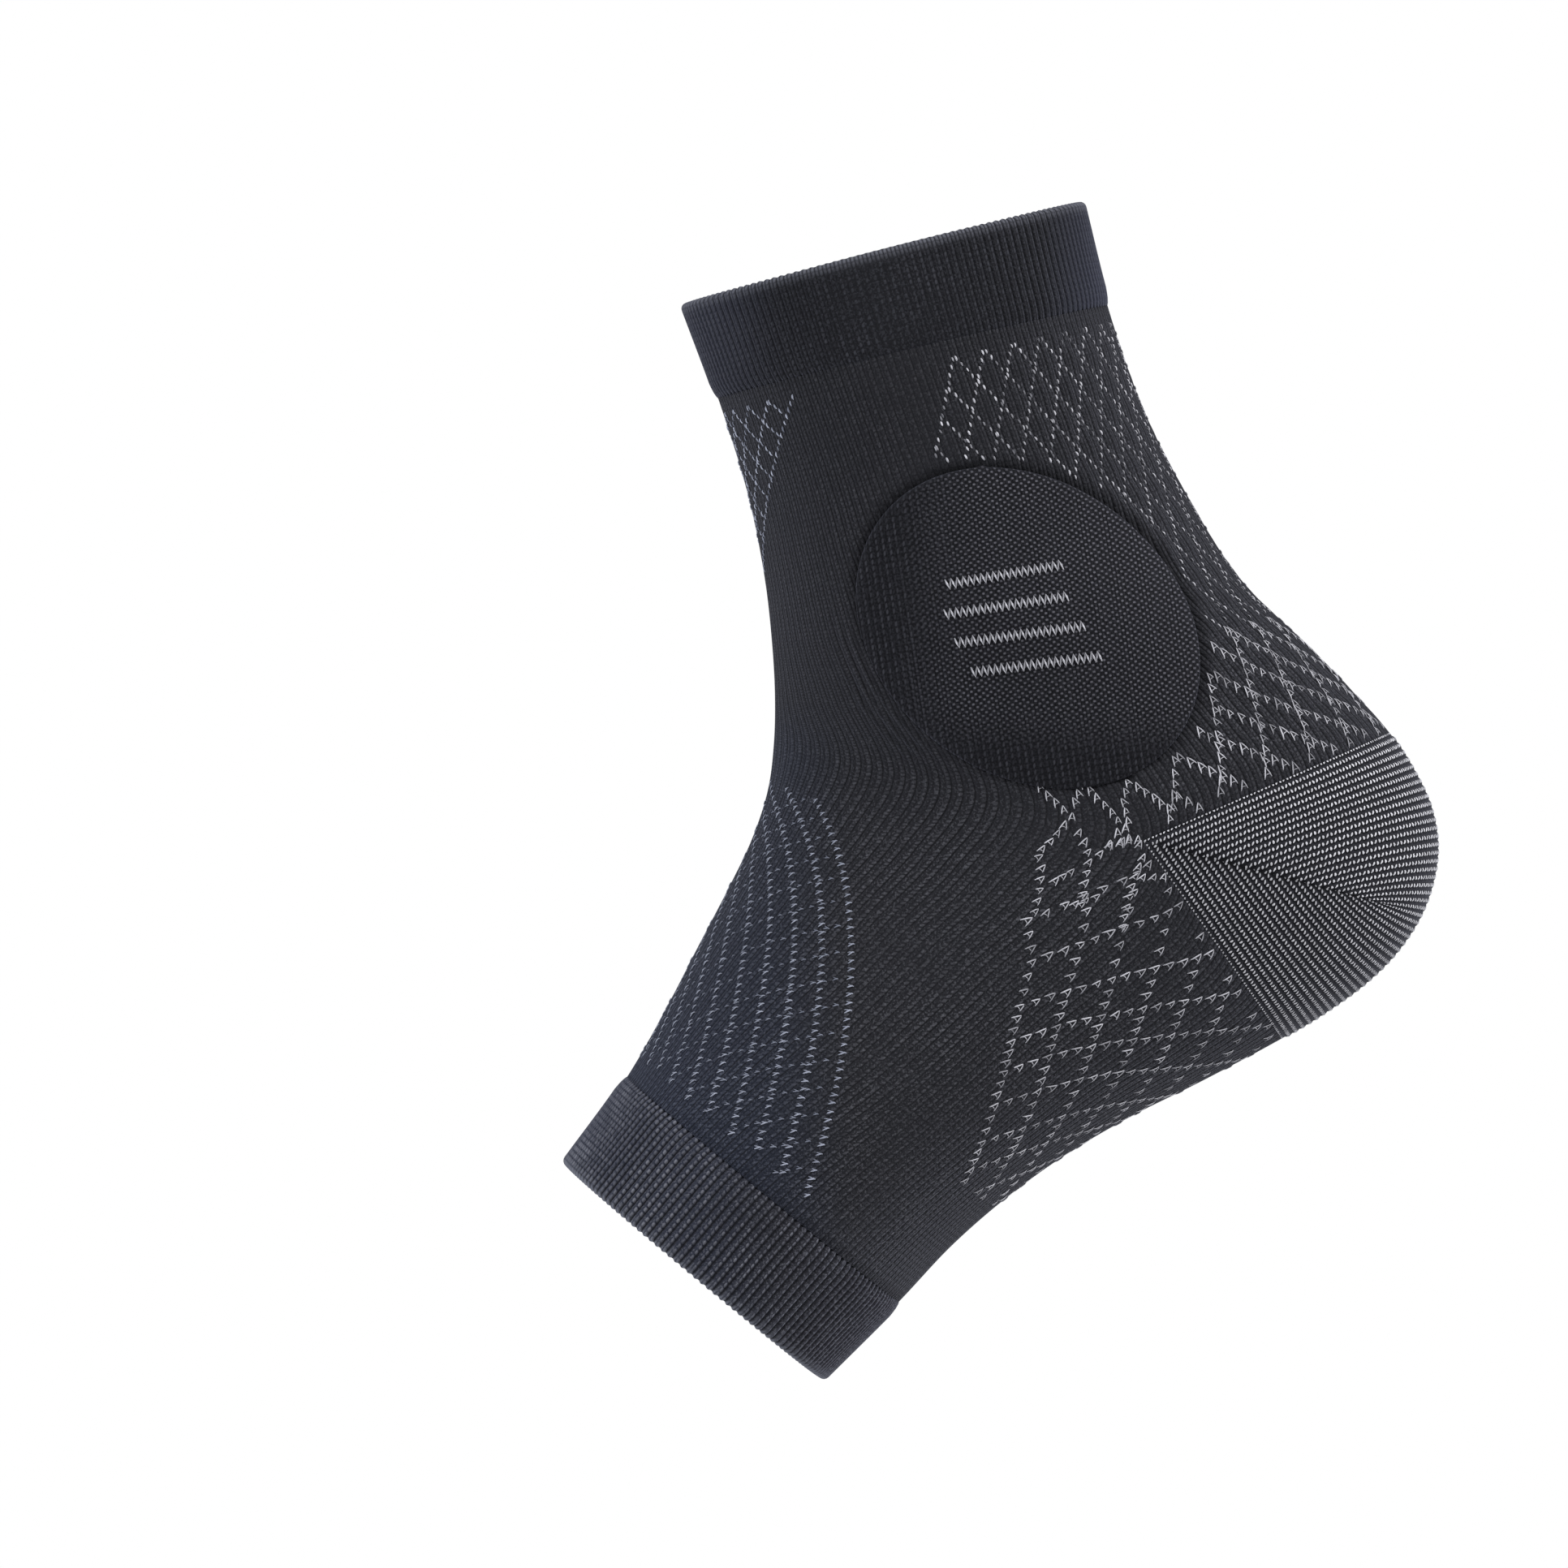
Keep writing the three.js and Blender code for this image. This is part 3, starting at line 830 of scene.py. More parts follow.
def runs_of(numbers, line, courses, keep):
    """The kept stretches of numbered lines. Line gives a number's wales at the courses."""
    return [run for number in numbers for run in spans(line(number), courses, keep(line(number)))]


def clear_of_pad(wales, courses):
    row = np.clip(courses, 0, leg_courses) * leg_rows / leg_courses
    return on_sheet(past_edge[..., None], wales * columns_per_wale, row)[:, 0] > 1.6


# At the tendon the lines fall from the cuff in small diamonds that grow towards the heel.
tendon_courses = np.arange(2.8, 93, 0.5)
line_slope = 0.392  # wales to a course that a line runs forward
turn_course, last_course = 52, 92  # below the first, each line heads for its own end at the last
first_end, end_gap = 44.8, 5.6  # wales, counted from line 9
grown_cell = 13.4  # courses along a cell below the turn
front_limit, back_limit = 33.8, 71.8  # wales


def tendon_line(number, at_course):
    """The wale of a tendon line that runs down and forward, numbered from the front, at a course."""
    start = tendon_peak[0] + tendon_cell[0] * number
    high = start - line_slope * (at_course - tendon_peak[1])
    at_turn = start - line_slope * (turn_course - tendon_peak[1])
    share = (at_course - turn_course) / (last_course - turn_course)
    low = at_turn + (first_end + end_gap * (number - 9) - at_turn) * share
    return np.where(at_course < turn_course, high, low)


def cells_down(at_course):
    """How many cells of the tendon's lattice lie above a course."""
    small = np.minimum(at_course, turn_course - 2) - tendon_peak[1]
    return small / tendon_cell[1] + np.maximum(at_course - turn_course + 2, 0) / grown_cell


def in_tendon_zone(wales, courses):
    border = tendon_peak[0] - border_slope * (courses - tendon_peak[1])
    inside = (wales > border - 0.2) & (wales > front_limit) & (wales < back_limit)
    first = np.where(courses > 76, 8, 9)
    inside = inside & clear_of_pad(wales, courses)
    return inside & ((courses < turn_course) | (wales > tendon_line(first, courses) - 0.2))


def in_zone(wales):
    return in_tendon_zone(wales, tendon_courses)


tendon_runs = runs_of(range(20), lambda number: tendon_line(number, tendon_courses), tendon_courses, in_zone)
tendon_runs += runs_of(
    range(-12, 9), lambda number: tendon_line(number + 2 * cells_down(tendon_courses), tendon_courses),
    tendon_courses, in_zone,
)
high_runs = [span for run in tendon_runs for span in spans(*run, run[1] < 60)]
low_runs = [span for run in tendon_runs for span in spans(*run, run[1] >= 60)]

lattice_yarn = pale_yarn("grey_lattice_yarn", (62, 62, 67), (196, 195, 200))
instep_yarn = pale_yarn("blue_grey_lattice_yarn", (58, 62, 74), (168, 172, 186))
tendon_ticks = sew(
    "tendon_lattice_stitches", short_tick, spots_of(high_runs, spacing=1.6),
    seed=11, paleness=0.78, size=0.92, vary=(0.15, 1.25),
)
heel_side_stitches = sew(
    "tendon_lower_stitches", a_stitch, spots_of(low_runs, spacing=2.3),
    seed=12, paleness=0.9, size=0.95, vary=(0.5, 1.15),
)

# At the arch the stitches are letter-like loops with a bar, three to each side of a diamond, and the
# lattice goes on under the sole.
arch_first, arch_pitch = -39.5, 11.3
arch_rungs = (-49, -36, -23, -11, 6, 22.5, 35, 45.6, 57.5, 71, 81, 92.5, 104, 115)
arch_middle = 42  # the wale where the rungs' slope is given
rung_slope, rung_turn, arch_slope = 2.8, 0.035, 1.8  # foot courses to a wale
arch_end = 58  # foot courses


def arch_spot(line, rung):
    """Wale and foot course where a line and a rung of the arch's lattice cross."""
    line_start = arch_first - arch_pitch * line
    rung_start = np.interp(rung, np.arange(len(arch_rungs)), arch_rungs)
    fine = np.linspace(16, 80, 600)
    from_line = rung_slope * (fine - arch_middle) - rung_turn * (fine - arch_middle) ** 2 + arch_slope * fine
    wales = np.interp(rung_start - line_start, from_line, fine)
    return wales, line_start + arch_slope * wales


line_part, rung_part = np.meshgrid(np.arange(0, 9 * 3 + 1) / 3, np.arange(0, 13 * 3 + 1) / 3)
on_lattice = (line_part % 1 == 0) | (np.abs(rung_part - np.round(rung_part)) < 0.01)
arch_wale, arch_course = arch_spot(line_part[on_lattice], rung_part[on_lattice])
in_arch = (arch_course > 0.7) & (arch_course < arch_end) & (arch_wale < 71.7) & (rung_part[on_lattice] > 2.9)
arch_stitches = sew(
    "arch_lattice_stitches", a_stitch, on_body(arch_wale[in_arch], leg_courses + arch_course[in_arch]),
    seed=13, paleness=0.82, size=0.94, vary=(0.5, 1.15),
)

# Between the two, rows of the same stitch run over the side of the ankle to the corner of the heel.
bend_rows = (  # pixels of the photograph
    (
        (1269, 961), (1291, 982), (1318, 1006), (1296, 1032),
        (1276, 1050), (1281, 1070), (1279, 1095), (1273, 1122),
    ),
    ((1331, 967), (1322, 988)),
    ((1340, 973), (1358, 992), (1383, 1020)),
    ((1386, 964), (1381, 990), (1387, 1012)),
    ((1398, 970), (1410, 977), (1437, 996)),
    ((1327, 1026), (1336, 1042), (1339, 1062), (1333, 1095), (1329, 1113)),
    ((1297, 1084), (1317, 1074)),
    ((1352, 1052), (1367, 1040), (1380, 1037)),
    ((1404, 1056), (1392, 1088), (1386, 1110), (1380, 1141)),
    ((1374, 1026), (1400, 1040)),
    ((1364, 1040), (1399, 1034)),
    ((1405, 1081), (1430, 1080)),
    ((1322, 1113), (1347, 1104)),
)


def side_net(*grids):
    """A net over the left side of grids of points, to find what the side view shows."""
    shape = bmesh.new()
    for grid in grids:
        rows = [[shape.verts.new(point * MM) for point in row] for row in grid]
        for upper, lower in zip(rows, rows[1:]):
            for i in range(len(upper) - 1):
                shape.faces.new((upper[i], upper[i + 1], lower[i + 1], lower[i]))
    shape.normal_update()
    net = BVHTree.FromBMesh(shape)
    shape.free()
    return net


def seen_on(net, flat):
    """Places in millimetres, and normals, where points of the side view meet a net from the left."""
    places, normals = [], []
    for x, z in flat.reshape(-1, 2):
        hit, normal = net.ray_cast(Vector((x * MM, -1, z * MM)), Vector((0, 1, 0)))[:2]
        places.append(tuple(hit / MM))
        normals.append(tuple(normal * (-1 if normal.y > 0 else 1)))
    return [np.array(found).reshape(flat.shape[:-1] + (3,)) for found in (places, normals)]


def rows_in_view(net, rows, spacing):
    """Spots on the body at even spaces along rows of pixels, heading up its wales."""
    flat = []
    for row in rows:
        line = from_photo(row)
        length = walk(line)
        at = np.linspace(0, length[-1], max(2, round(length[-1] / spacing) + 1))
        flat.append(np.stack([np.interp(at, length, line[:, axis]) for axis in (0, 1)], -1))
    places, normals = seen_on(net, np.concatenate(flat))
    near = [np.argmin(np.linalg.norm(body_left - place, axis=1)) for place in places]
    return places, normals, up_wales[near]


left_half = slice(0, half_ring + 1)
body_parts = (body_points[:leg_rows + 1, left_half], body_points[leg_rows + 1:, left_half])
body_net = side_net(*body_parts)
body_left = np.concatenate([part.reshape(-1, 3) for part in body_parts])
up_wales = unit(np.concatenate([-np.gradient(part, axis=0).reshape(-1, 3) for part in body_parts]))
bend_stitches = sew(
    "ankle_corner_stitches", a_stitch, rows_in_view(body_net, bend_rows, spacing=2.1),
    seed=14, paleness=0.95, size=0.85,
)

# On the instep and the shin the lines meet their mirrors at the front. They are thinner and half sunk.
instep_gap = 3.85  # wales between the lines
instep_slope = 0.5  # wales to a course
instep_courses = np.arange(12, 75, 0.5)
instep_edge = 2.7 + instep_slope * instep_courses
instep_lines = sew(
    "instep_lattice_stitches", tick,
    spots_of(runs_of(
        range(11), lambda number: instep_edge - instep_gap * number,
        leg_courses + instep_courses, lambda wales: wales > 0.3,
    ), spacing=1.7, lean=math.radians(20)),
    seed=15, paleness=0.72,
)
instep_rungs = sew(
    "instep_rung_stitches", tick,
    spots_of(runs_of(
        range(18), lambda number: 14.7 + instep_gap * number - instep_slope * instep_courses,
        leg_courses + instep_courses, lambda wales: (wales > 0.3) & (wales < instep_edge - 0.8),
    ), spacing=2.3, follow=0.8),
    seed=16, paleness=0.42, size=0.8,
)

shin_gap, shin_slope = 4, 0.57
shin_courses = np.arange(2.8, 33, 0.5)
shin_run = shin_slope * (shin_courses - 3)
shin_edge = 19 - shin_run
shin_runs = runs_of(
    range(5), lambda number: shin_edge - shin_gap * number, shin_courses, lambda wales: wales > 0.3
)
shin_runs += runs_of(
    range(-3, 5), lambda number: 3 + shin_gap * number + shin_run,
    shin_courses, lambda wales: (wales > 0.3) & (wales < shin_edge),
)
shin_stitches = sew(
    "shin_lattice_stitches", short_tick, spots_of(shin_runs, spacing=1.45, follow=0.3),
    seed=17, paleness=0.85, size=1.05, vary=(0.3, 1.2),
)

for yarn in (tendon_ticks, heel_side_stitches, arch_stitches, bend_stitches):
    fit_piece(yarn, lattice_yarn, "charcoal_knit")
for yarn in (instep_lines, instep_rungs, shin_stitches):
    fit_piece(yarn, instep_yarn, "charcoal_knit")

# The cuffs. Each is a doubled welt knitted in one with the sock: a ribbed outer layer that turns over at
# the rim and comes back inside. The one at the toes is a bluer yarn.
cuff_wall = 2.2
cuff_rise = 0.8
columns_per_rib = 6
cuff_rows = 15  # up the outside
rim_scallop = 0.32  # how far a rib's loop stands up at the rim
rim_share = 0.056  # share of a cuff's height that its rounded rim takes
# Where a cuff meets the body: shares of its height, and how far it stands off the skin there.
seam_ease = ((1.0, -0.35), (0.996, 0.0), (0.965, 0.3), (0.92, 0.55), (0.87, 0.7))


def knit_cuff(name, rim, seam, courses, rib_depth, flat_middle):
    """A cuff from its seam up the outside, over the rim and down the inside. Its sides may be flatter."""
    middle, radius = cuff_rise - cuff_wall / 2, cuff_wall / 2
    profile = [(share, lift, 1, 0) for share, lift in seam_ease]
    profile += [(share, cuff_rise, 1, 0) for share in np.linspace(0.82, rim_share * 1.4, cuff_rows)]
    for turn in np.linspace(0, np.pi, 9):
        profile.append((rim_share * (1 - math.sin(turn)), middle + radius * math.cos(turn),
                        max(0, math.cos(turn)) ** 0.5, math.sin(turn)))
    profile += [(share, cuff_rise - cuff_wall, 0, 0) for share in (0.3, 0.6, 1.0)]
    profile.append(profile[0])
    share, lift, ribbed, over_rim = np.array(profile).T
    stations = rim + share * (seam - rim)
    per_quarter = wales_round * columns_per_rib // 4
    base = rings(stations, per_quarter)
    ahead, behind = rings(stations + 0.02, per_quarter), rings(stations - 0.02, per_quarter)
    out = unit(np.cross(ahead - behind, round_way(base)))
    rim_way = unit(ahead - behind) * (1 if rim < seam else -1)
    ribs = np.arange(base.shape[1]) / columns_per_rib
    to_side = np.sin(2 * np.pi * ribs / wales_round) ** 6
    groove = (0.5 + 0.5 * np.cos(2 * np.pi * ribs)) * (1 - flat_middle * to_side)
    height = lift[:, None] - rib_depth * groove ** 1.3 * ribbed[:, None]
    points = base + out * height[..., None]
    points = points + rim_way * (rim_scallop * groove * over_rim[:, None])[..., None]
    # The blue mark is a painted cool sheen along the cuff's two edges as the camera sees them.
    seen_x = to_photo(base)[..., 0]
    cuff = lay_sheet(
        name, points, ribs[None, :], (share * courses)[:, None],
        rim=(smoothly(-share, -0.11, -0.03) * (lift > -1))[:, None], groove=groove[None, :] * ribbed[:, None],
        blue=0.6 * smoothly(-seen_x, -980, -850) + smoothly(seen_x, 1270, 1380),
    )
    with mend(cuff.data) as shape:
        bmesh.ops.remove_doubles(shape, verts=shape.verts, dist=merge_distance)
        bmesh.ops.recalc_face_normals(shape, faces=shape.faces)
    bpy.ops.object.shade_smooth()
    return cuff


def rib_knit(name, dark, light, painted_sheen_dark, rim_light, sheen, leg_highlights, hollows, speckles):
    """Ribbed knit: painted shade between the ribs, painted highlights and speckles on them, with paler loops
    along the rim.
    """
    cloth = Cloth(name, sheen)
    loops = cloth.group(knit_loops, Wales=cloth.wales, Courses=cloth.courses, Slant=0.5)
    # The dark yarn, with a painted cool sheen where the blue mark is.
    colour = cloth.blend(cloth.mark("blue"), dark, painted_sheen_dark)
    # Painted highlights on the lit legs of the stitches.
    colour = cloth.blend(loops["Lit_leg_highlight"] * (cloth.patch * (leg_highlights * 2) - leg_highlights * 0.3), colour, light)
    colour = cloth.blend(cloth.fuzz.step(0.48, 0.72) * speckles, colour, light)
    colour = cloth.blend(cloth.mark("rim") * (loops["Height"] * 0.8 + 0.05), colour, rim_light)
    # Painted shade in the grooves between the ribs.
    hollow = cloth.mark("groove").math("POWER", 2) * hollows
    colour = cloth.blend(hollow, colour, tuple(value * 0.5 for value in dark))
    return cloth.finish(colour, loops["Height"] + cloth.fuzz * 0.25, 0.25)


leg_rib = rib_knit(
    "charcoal_rib", dark=(27, 27, 30), light=(72, 73, 79), painted_sheen_dark=(50, 52, 63), rim_light=(94, 95, 102),
    sheen=0.09, leg_highlights=0.42, hollows=0.45, speckles=0.3,
)
leg_cuff = knit_cuff("leg_cuff_rib", 0, leg_seam + 0.012, courses=17, rib_depth=0.3, flat_middle=0.75)
fit_piece(leg_cuff, leg_rib, "charcoal_knit", "leg_cuff")

foot_rib = rib_knit(
    "blue_charcoal_rib", dark=(41, 41, 46), light=(110, 111, 119), painted_sheen_dark=(48, 52, 65),
    rim_light=(100, 102, 110), sheen=0.12, leg_highlights=1.15, hollows=0.95, speckles=0.44,
)
foot_cuff = knit_cuff(
    "foot_cuff_rib", last_station, foot_seam - 0.012, courses=18, rib_depth=0.55, flat_middle=0
)
fit_piece(foot_cuff, foot_rib, "blue_charcoal_knit", "foot_cuff")

# The heel. It is a turned pocket of thicker knit, one course of pale grey to one of charcoal. Its rows
# start from a gore on each side, where the short rows are joined, and run round the back of the heel.
heel_wall = 1.9
heel_rise = 0.3
heel_pairs = 47  # pairs of a grey and a dark course along the outline
rows_per_pair = 4
heel_columns = 176  # from a gore to the back
edge_wales, gore_wales = 42, 11  # wales from a side to the back at the edges and at the gore's end
gore_end_pixel = (1700, 1112)
course_relief = 0.34
gore_depth, gore_width = 0.25, 0.9
edge_depth, edge_rows = 0.35, 1.6  # where the heel meets the body
back_wale = 100.5
heel_full = bend_ring["back_full"][0]

side_y = bend_ring["width"][0] * ankle_width / 2
corner_flat = heel_corner[[0, 2]]
gore_end = from_photo(gore_end_pixel)
fine_outline = along_line(back_line, np.linspace(heel_start, heel_end, 600))[:, [0, 2]]
outline_bearing = np.arctan2(*(fine_outline - corner_flat).T[::-1])
outline_reach = np.linalg.norm(fine_outline - corner_flat, axis=1)


def on_heel(flat):
    """Lifts points of the side view on to the left side of the heel."""
    offset = flat - corner_flat
    bearing = np.arctan2(offset[..., 1], offset[..., 0])
    reach = np.interp(-bearing, -outline_bearing, outline_reach)
    share = np.clip(np.linalg.norm(offset, axis=-1) / reach, 0, 1)
    lift = side_y * (1 - share**heel_full) ** (1 / heel_full)
    return np.stack([flat[..., 0], -lift, flat[..., 1]], -1)


half_rows = heel_pairs * rows_per_pair // 2
outline_length = walk(fine_outline)
row_ends = np.stack([
    np.interp(np.linspace(0, outline_length[-1], 2 * half_rows + 1), outline_length, fine_outline[:, axis])
    for axis in (0, 1)
], -1)
heel_rows = []
for row in range(2 * half_rows + 1):
    share = 1 - abs(row - half_rows) / half_rows
    start, end = corner_flat + share * (gore_end - corner_flat), row_ends[row]
    edge_way = unit(row_ends[0 if row < half_rows else -1] - corner_flat)
    way = unit(edge_way * (1 - share**2) + unit(end - start) * share**2)
    bend = start + way * 0.6 * np.linalg.norm(end - start)
    t = (1 - np.cos(np.linspace(0, np.pi, 400)))[:, None] / 2
    flat = start * (1 - t) ** 2 + bend * 2 * t * (1 - t) + end * t**2
    path = on_heel(flat)
    path[-1, 1] = 0
    length = walk(path)
    even = np.linspace(0, length[-1], heel_columns + 1)
    left = np.stack([np.interp(even, length, path[:, axis]) for axis in range(3)], -1)
    heel_rows.append(both_sides(left))
heel_skin = np.array(heel_rows)
heel_out = outward(heel_skin, closed=False)
for side in (0, -1):
    heel_out[:, side] = unit(heel_out[:, side] + heel_out[::-1, side])
row_number = np.arange(2 * half_rows + 1)[:, None]
column_number = np.arange(2 * heel_columns + 1)[None, :]
row_share = 1 - np.abs(row_number - half_rows) / half_rows
column_share = 1 - np.abs(column_number - heel_columns) / heel_columns
wales_here = edge_wales + (gore_wales - edge_wales) * row_share
side_sign = np.sign(column_number - heel_columns)
heel_wale = back_wale + side_sign * wales_here * (1 - column_share)
heel_course = np.broadcast_to(row_number / rows_per_pair, heel_wale.shape)
from_gore = column_share * np.linalg.norm(row_ends - corner_flat, axis=1)[:, None]
from_edge = np.minimum(row_number, row_number[::-1])
ridge = 0.5 + 0.5 * np.cos(2 * np.pi * heel_course)
stitch = 0.8 - 0.2 * np.cos(4 * np.pi * heel_wale)
heel_height = heel_rise + course_relief * (ridge * stitch - 0.5)
in_gore = np.exp(-((from_gore / gore_width) ** 2)) * smoothly(row_share, 0.02, 0.1)
heel_height = heel_height - gore_depth * in_gore
heel_height = heel_height - edge_depth * np.exp(-((from_edge / edge_rows) ** 2))
heel_points = heel_skin + heel_out * heel_height[..., None]
heel = lay_sheet(
    "heel_pocket_knit", heel_points, heel_wale, heel_course,
    gore=np.exp(-((from_gore / 1.9) ** 2)) * smoothly(row_share, 0.02, 0.08),
    lit=0.97 - 0.25 * smoothly(heel_course, 20, 30),
)
inner_grid = np.ix_(np.arange(0, 2 * half_rows + 1, 4), np.arange(0, 2 * heel_columns + 1, 8))
heel_inside = lay_sheet(
    "heel_pocket_inside", (heel_skin - heel_out * (heel_wall - heel_rise))[inner_grid],
    heel_wale[inner_grid], heel_course[inner_grid], gore=0, lit=1,
)
heel = close_wall(heel, heel_inside)

cloth = Cloth("grey_charcoal_knit", 0.1)
leg_splay = 0.24  # wales that a grey stitch's leg turns out over a pair of courses


def heel_oval(wide, long, shift):
    """1 in the middle of a grey stitch's leg, falling to 0 at shares of a wale and of a pair of courses."""
    in_wale = (cloth.wales.math("FRACT") - 0.5).math("ABSOLUTE")
    in_pair = (cloth.courses + (0.5 - shift)).math("FRACT") - 0.5
    across = (in_wale - (in_pair * leg_splay + 0.25)) / wide
    along = in_pair / long
    return 1 - (across * across + along * along)


stitch_dice = cell_noise(cloth.wales.math("FLOOR"), (cloth.courses + 0.5).math("FLOOR"))
grey_leg = heel_oval(0.15, 0.31, 0).step(0, 0.45) * (stitch_dice * 0.35 + 0.75) * cloth.mark("lit")
zipper = (cloth.courses * (2 * math.pi)).math("COSINE") * -0.45 + 0.55
# Painted shadow: a dark oval round each grey leg, shifted a little along the courses, that shows round the
# leg's edge.
colour = cloth.blend(heel_oval(0.34, 0.5, 0.1).step(0, 0.6), (38, 38, 42), (10, 10, 12))
colour = cloth.blend(grey_leg, colour, (206, 205, 209))
colour = cloth.blend(cloth.fuzz * 0.4 - 0.1, colour, (40, 40, 44))
colour = cloth.blend(cloth.mark("gore") * zipper, colour, (16, 16, 18))
heel_knit = cloth.finish(colour, grey_leg + cloth.fuzz * 0.3, 0.3)
fit_piece(heel, heel_knit, "heel_knit", "heel_pocket")

# The ankle pads. Each is an oval of thicker bird's-eye knit that stands a little proud over the ankle
# bone, with a rounded edge that drops into the groove of the body round it.
pad_rise = 0.55
pad_rows, pad_columns = 96, 120
pad_edge = 1.7  # how far in its edge is rounded
edge_sink = 0.55  # how far its edge drops below the skin
crown_rise, crown_reach = 0.35, 26

skin_net = side_net(leg_skin[:, left_half])


def oval(rows, columns):
    """A grid of points over the pad's oval in the side view, with its outer row on the edge."""
    u, v = np.meshgrid(np.linspace(-1, 1, columns), np.linspace(1, -1, rows))
    along = u * np.sqrt(1 - v**2 / 2) * pad_length / 2
    across = v * np.sqrt(1 - u**2 / 2) * pad_height / 2
    c, s = math.cos(pad_tilt), math.sin(pad_tilt)
    return np.stack([along * c - across * s, along * s + across * c], -1)


def pad_face(rows, columns):
    flat = oval(rows, columns)
    points = seen_on(skin_net, flat)[0]
    out = unit(np.cross(np.gradient(points, axis=0), np.gradient(points, axis=1)))
    return points, out, *from_pad(points)


face, face_out, edge, bearing = pad_face(pad_rows, pad_columns)
inward = np.clip(-edge / pad_edge, 0, 1)
rim_drop = (1 - np.sqrt(np.maximum(0, 1 - (1 - inward) ** 2))) * (pad_rise + edge_sink)
crown = crown_rise * (1 - np.clip(1 + edge / crown_reach, 0, 1) ** 2)
firm_edge = edge_strength(bearing)
pad_lift = (pad_rise + crown) * (0.45 + 0.55 * firm_edge) - rim_drop * firm_edge
pad_points = face + face_out * pad_lift[..., None]
# The bird's-eye spots lie in slanting rows, as pixels of the photograph, and fade at the front and below.
eye_slant, eye_pitch = 0.16, (9.5, 8)
seen = to_photo(face)
pad = lay_sheet(
    "ankle_pad_left_knit", pad_points,
    (seen[..., 0] - eye_slant * seen[..., 1]) / eye_pitch[0],
    (seen[..., 1] + eye_slant * seen[..., 0]) / eye_pitch[1],
    dots=smoothly(seen[..., 0], 1090, 1210) * (1 - smoothly(seen[..., 1], 860, 935)),
    shade=smoothly(edge, -1.2, 0) * firm_edge,
)
back, back_out = pad_face(pad_rows // 3, pad_columns // 3)[:2]
pad_inside = lay_sheet(
    "ankle_pad_inside", back - back_out * (pad_bed - 0.25), back[..., 0] / 1.5, back[..., 2] / 1.28,
    dots=0, shade=1,
)
pad = close_wall(pad, pad_inside)

cloth = Cloth("bird_eye_knit", 0.1)
loops = cloth.group(knit_loops, Wales=cloth.wales * 1.15, Courses=cloth.courses)
across, down = ((count * (2 * math.pi)).math("COSINE") for count in (cloth.wales, cloth.courses))
eye = (across * down * 0.5 + 0.5).step(0.55, 0.9) * cloth.mark("dots") * (cloth.patch * 0.8 + 0.4)
colour = cloth.blend(cloth.fuzz.step(0.44, 0.64) * 0.2, (15, 15, 18), (64, 64, 70))
colour = cloth.blend(eye, colour, (94, 93, 99))
# Painted highlights on the lit legs of the stitches, weaker where the dots are.
colour = cloth.blend(loops["Lit_leg_highlight"] * (cloth.mark("dots") * -0.35 + 0.42), colour, (74, 74, 80))
colour = cloth.blend(cloth.fuzz * 0.4 - 0.1, colour, (26, 26, 29))
colour = cloth.blend(cloth.mark("shade") * 0.5, colour, (16, 16, 18))
pad_knit = cloth.finish(colour, eye + loops["Height"] * 0.35 + cloth.fuzz * 0.2, 0.3)


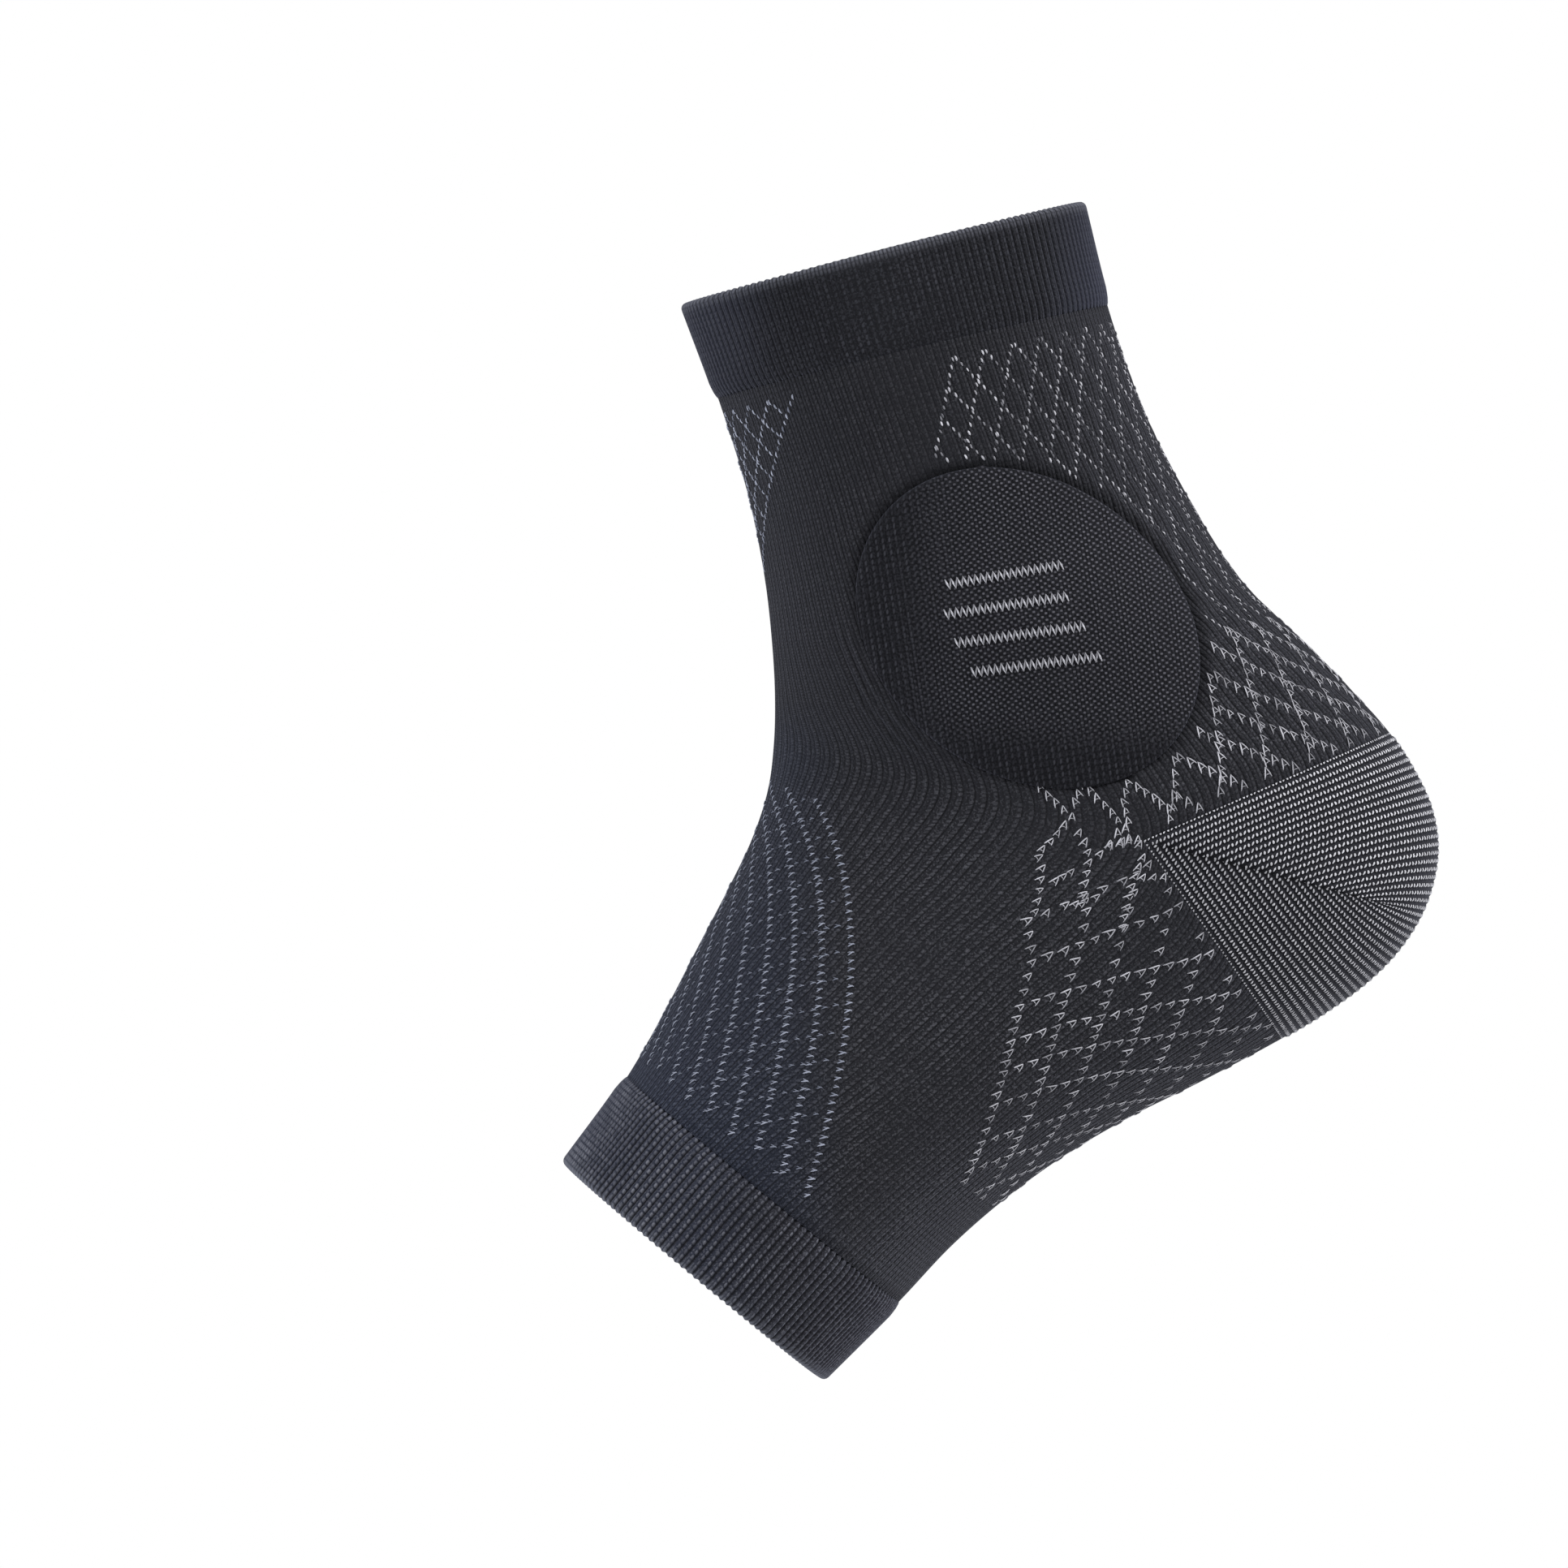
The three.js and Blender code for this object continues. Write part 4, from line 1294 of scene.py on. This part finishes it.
def mirror_piece(piece, name):
    """A copy of a left piece for the right side."""
    pick(piece)
    bpy.ops.object.duplicate()
    other = bpy.context.object
    other.name = other.data.name = name
    bpy.ops.transform.mirror(
        constraint_axis=(False, True, False), orient_type="GLOBAL", center_override=(0, 0, 0)
    )
    bpy.ops.object.transform_apply(location=True, rotation=True, scale=True)
    bpy.ops.object.mode_set(mode="EDIT")
    bpy.ops.mesh.select_all(action="SELECT")
    bpy.ops.mesh.normals_make_consistent(inside=False)
    bpy.ops.object.mode_set(mode="OBJECT")
    other.select_set(False)
    return other


right_pad = mirror_piece(pad, "ankle_pad_right_knit")
for piece, node in ((pad, "ankle_pad_left"), (right_pad, "ankle_pad_right")):
    fit_piece(piece, pad_knit, "pad_knit", node)

# Four zigzag stripes of the grey yarn are sewn across each pad, a long stroke down and a short one back.
stripe_ends = (  # pixels of the photograph
    ((1163.5, 722.5), (1301, 699)),
    ((1162, 759), (1311, 737)),
    ((1175, 794), (1325.5, 774)),
    ((1195, 829.5), (1347.5, 810.5)),
)
zigzag_pitch, zigzag_height, zigzag_slant = 7.4, 12.5, 4.6  # in pixels
stripe_radius, stripe_sides = 0.2, 6
turn_lift, middle_lift = 0.02, 0.22
# The paleness paints shade at the turns, where the yarn dips into the pad: most at the tops, less at the
# feet. The stroke back up is as dark as a top.
zigzag_paleness = np.array([0.35, 0.85, 0.6, 0.35])  # at a top, down a stroke, at a foot and back up
pad_net = side_net(pad_points)
stripes = []
for first, last in stripe_ends:
    run = np.subtract(last, first)
    length = np.linalg.norm(run)
    run = run / length
    down = np.array([-run[1], run[0]])
    turns = np.arange(round(length / zigzag_pitch) + 1) * zigzag_pitch
    tops = np.array(first) + turns[:, None] * run - down * zigzag_height / 2
    feet = tops + run * zigzag_slant + down * zigzag_height
    corner_pixels = np.stack([tops, feet], 1).reshape(-1, 2)
    middles = (corner_pixels[1:] + corner_pixels[:-1]) / 2
    track = np.empty((2 * len(corner_pixels) - 1, 2))
    track[::2], track[1::2] = corner_pixels, middles
    lift = np.where(np.arange(len(track)) % 2 == 0, turn_lift, middle_lift)[:, None]
    paleness = np.repeat(zigzag_paleness[np.arange(len(track)) % 4], stripe_sides)
    place, normal = seen_on(pad_net, from_photo(track))
    stripes.append((*strand(place + normal * lift, stripe_radius, normal, stripe_sides), paleness))
stripe_yarn = pale_yarn("grey_stripe_yarn", (66, 66, 70), (198, 197, 202))
pad_stripes = lay_yarn("ankle_pad_stripes", stripes)
fit_piece(pad_stripes, stripe_yarn, "pad_knit")
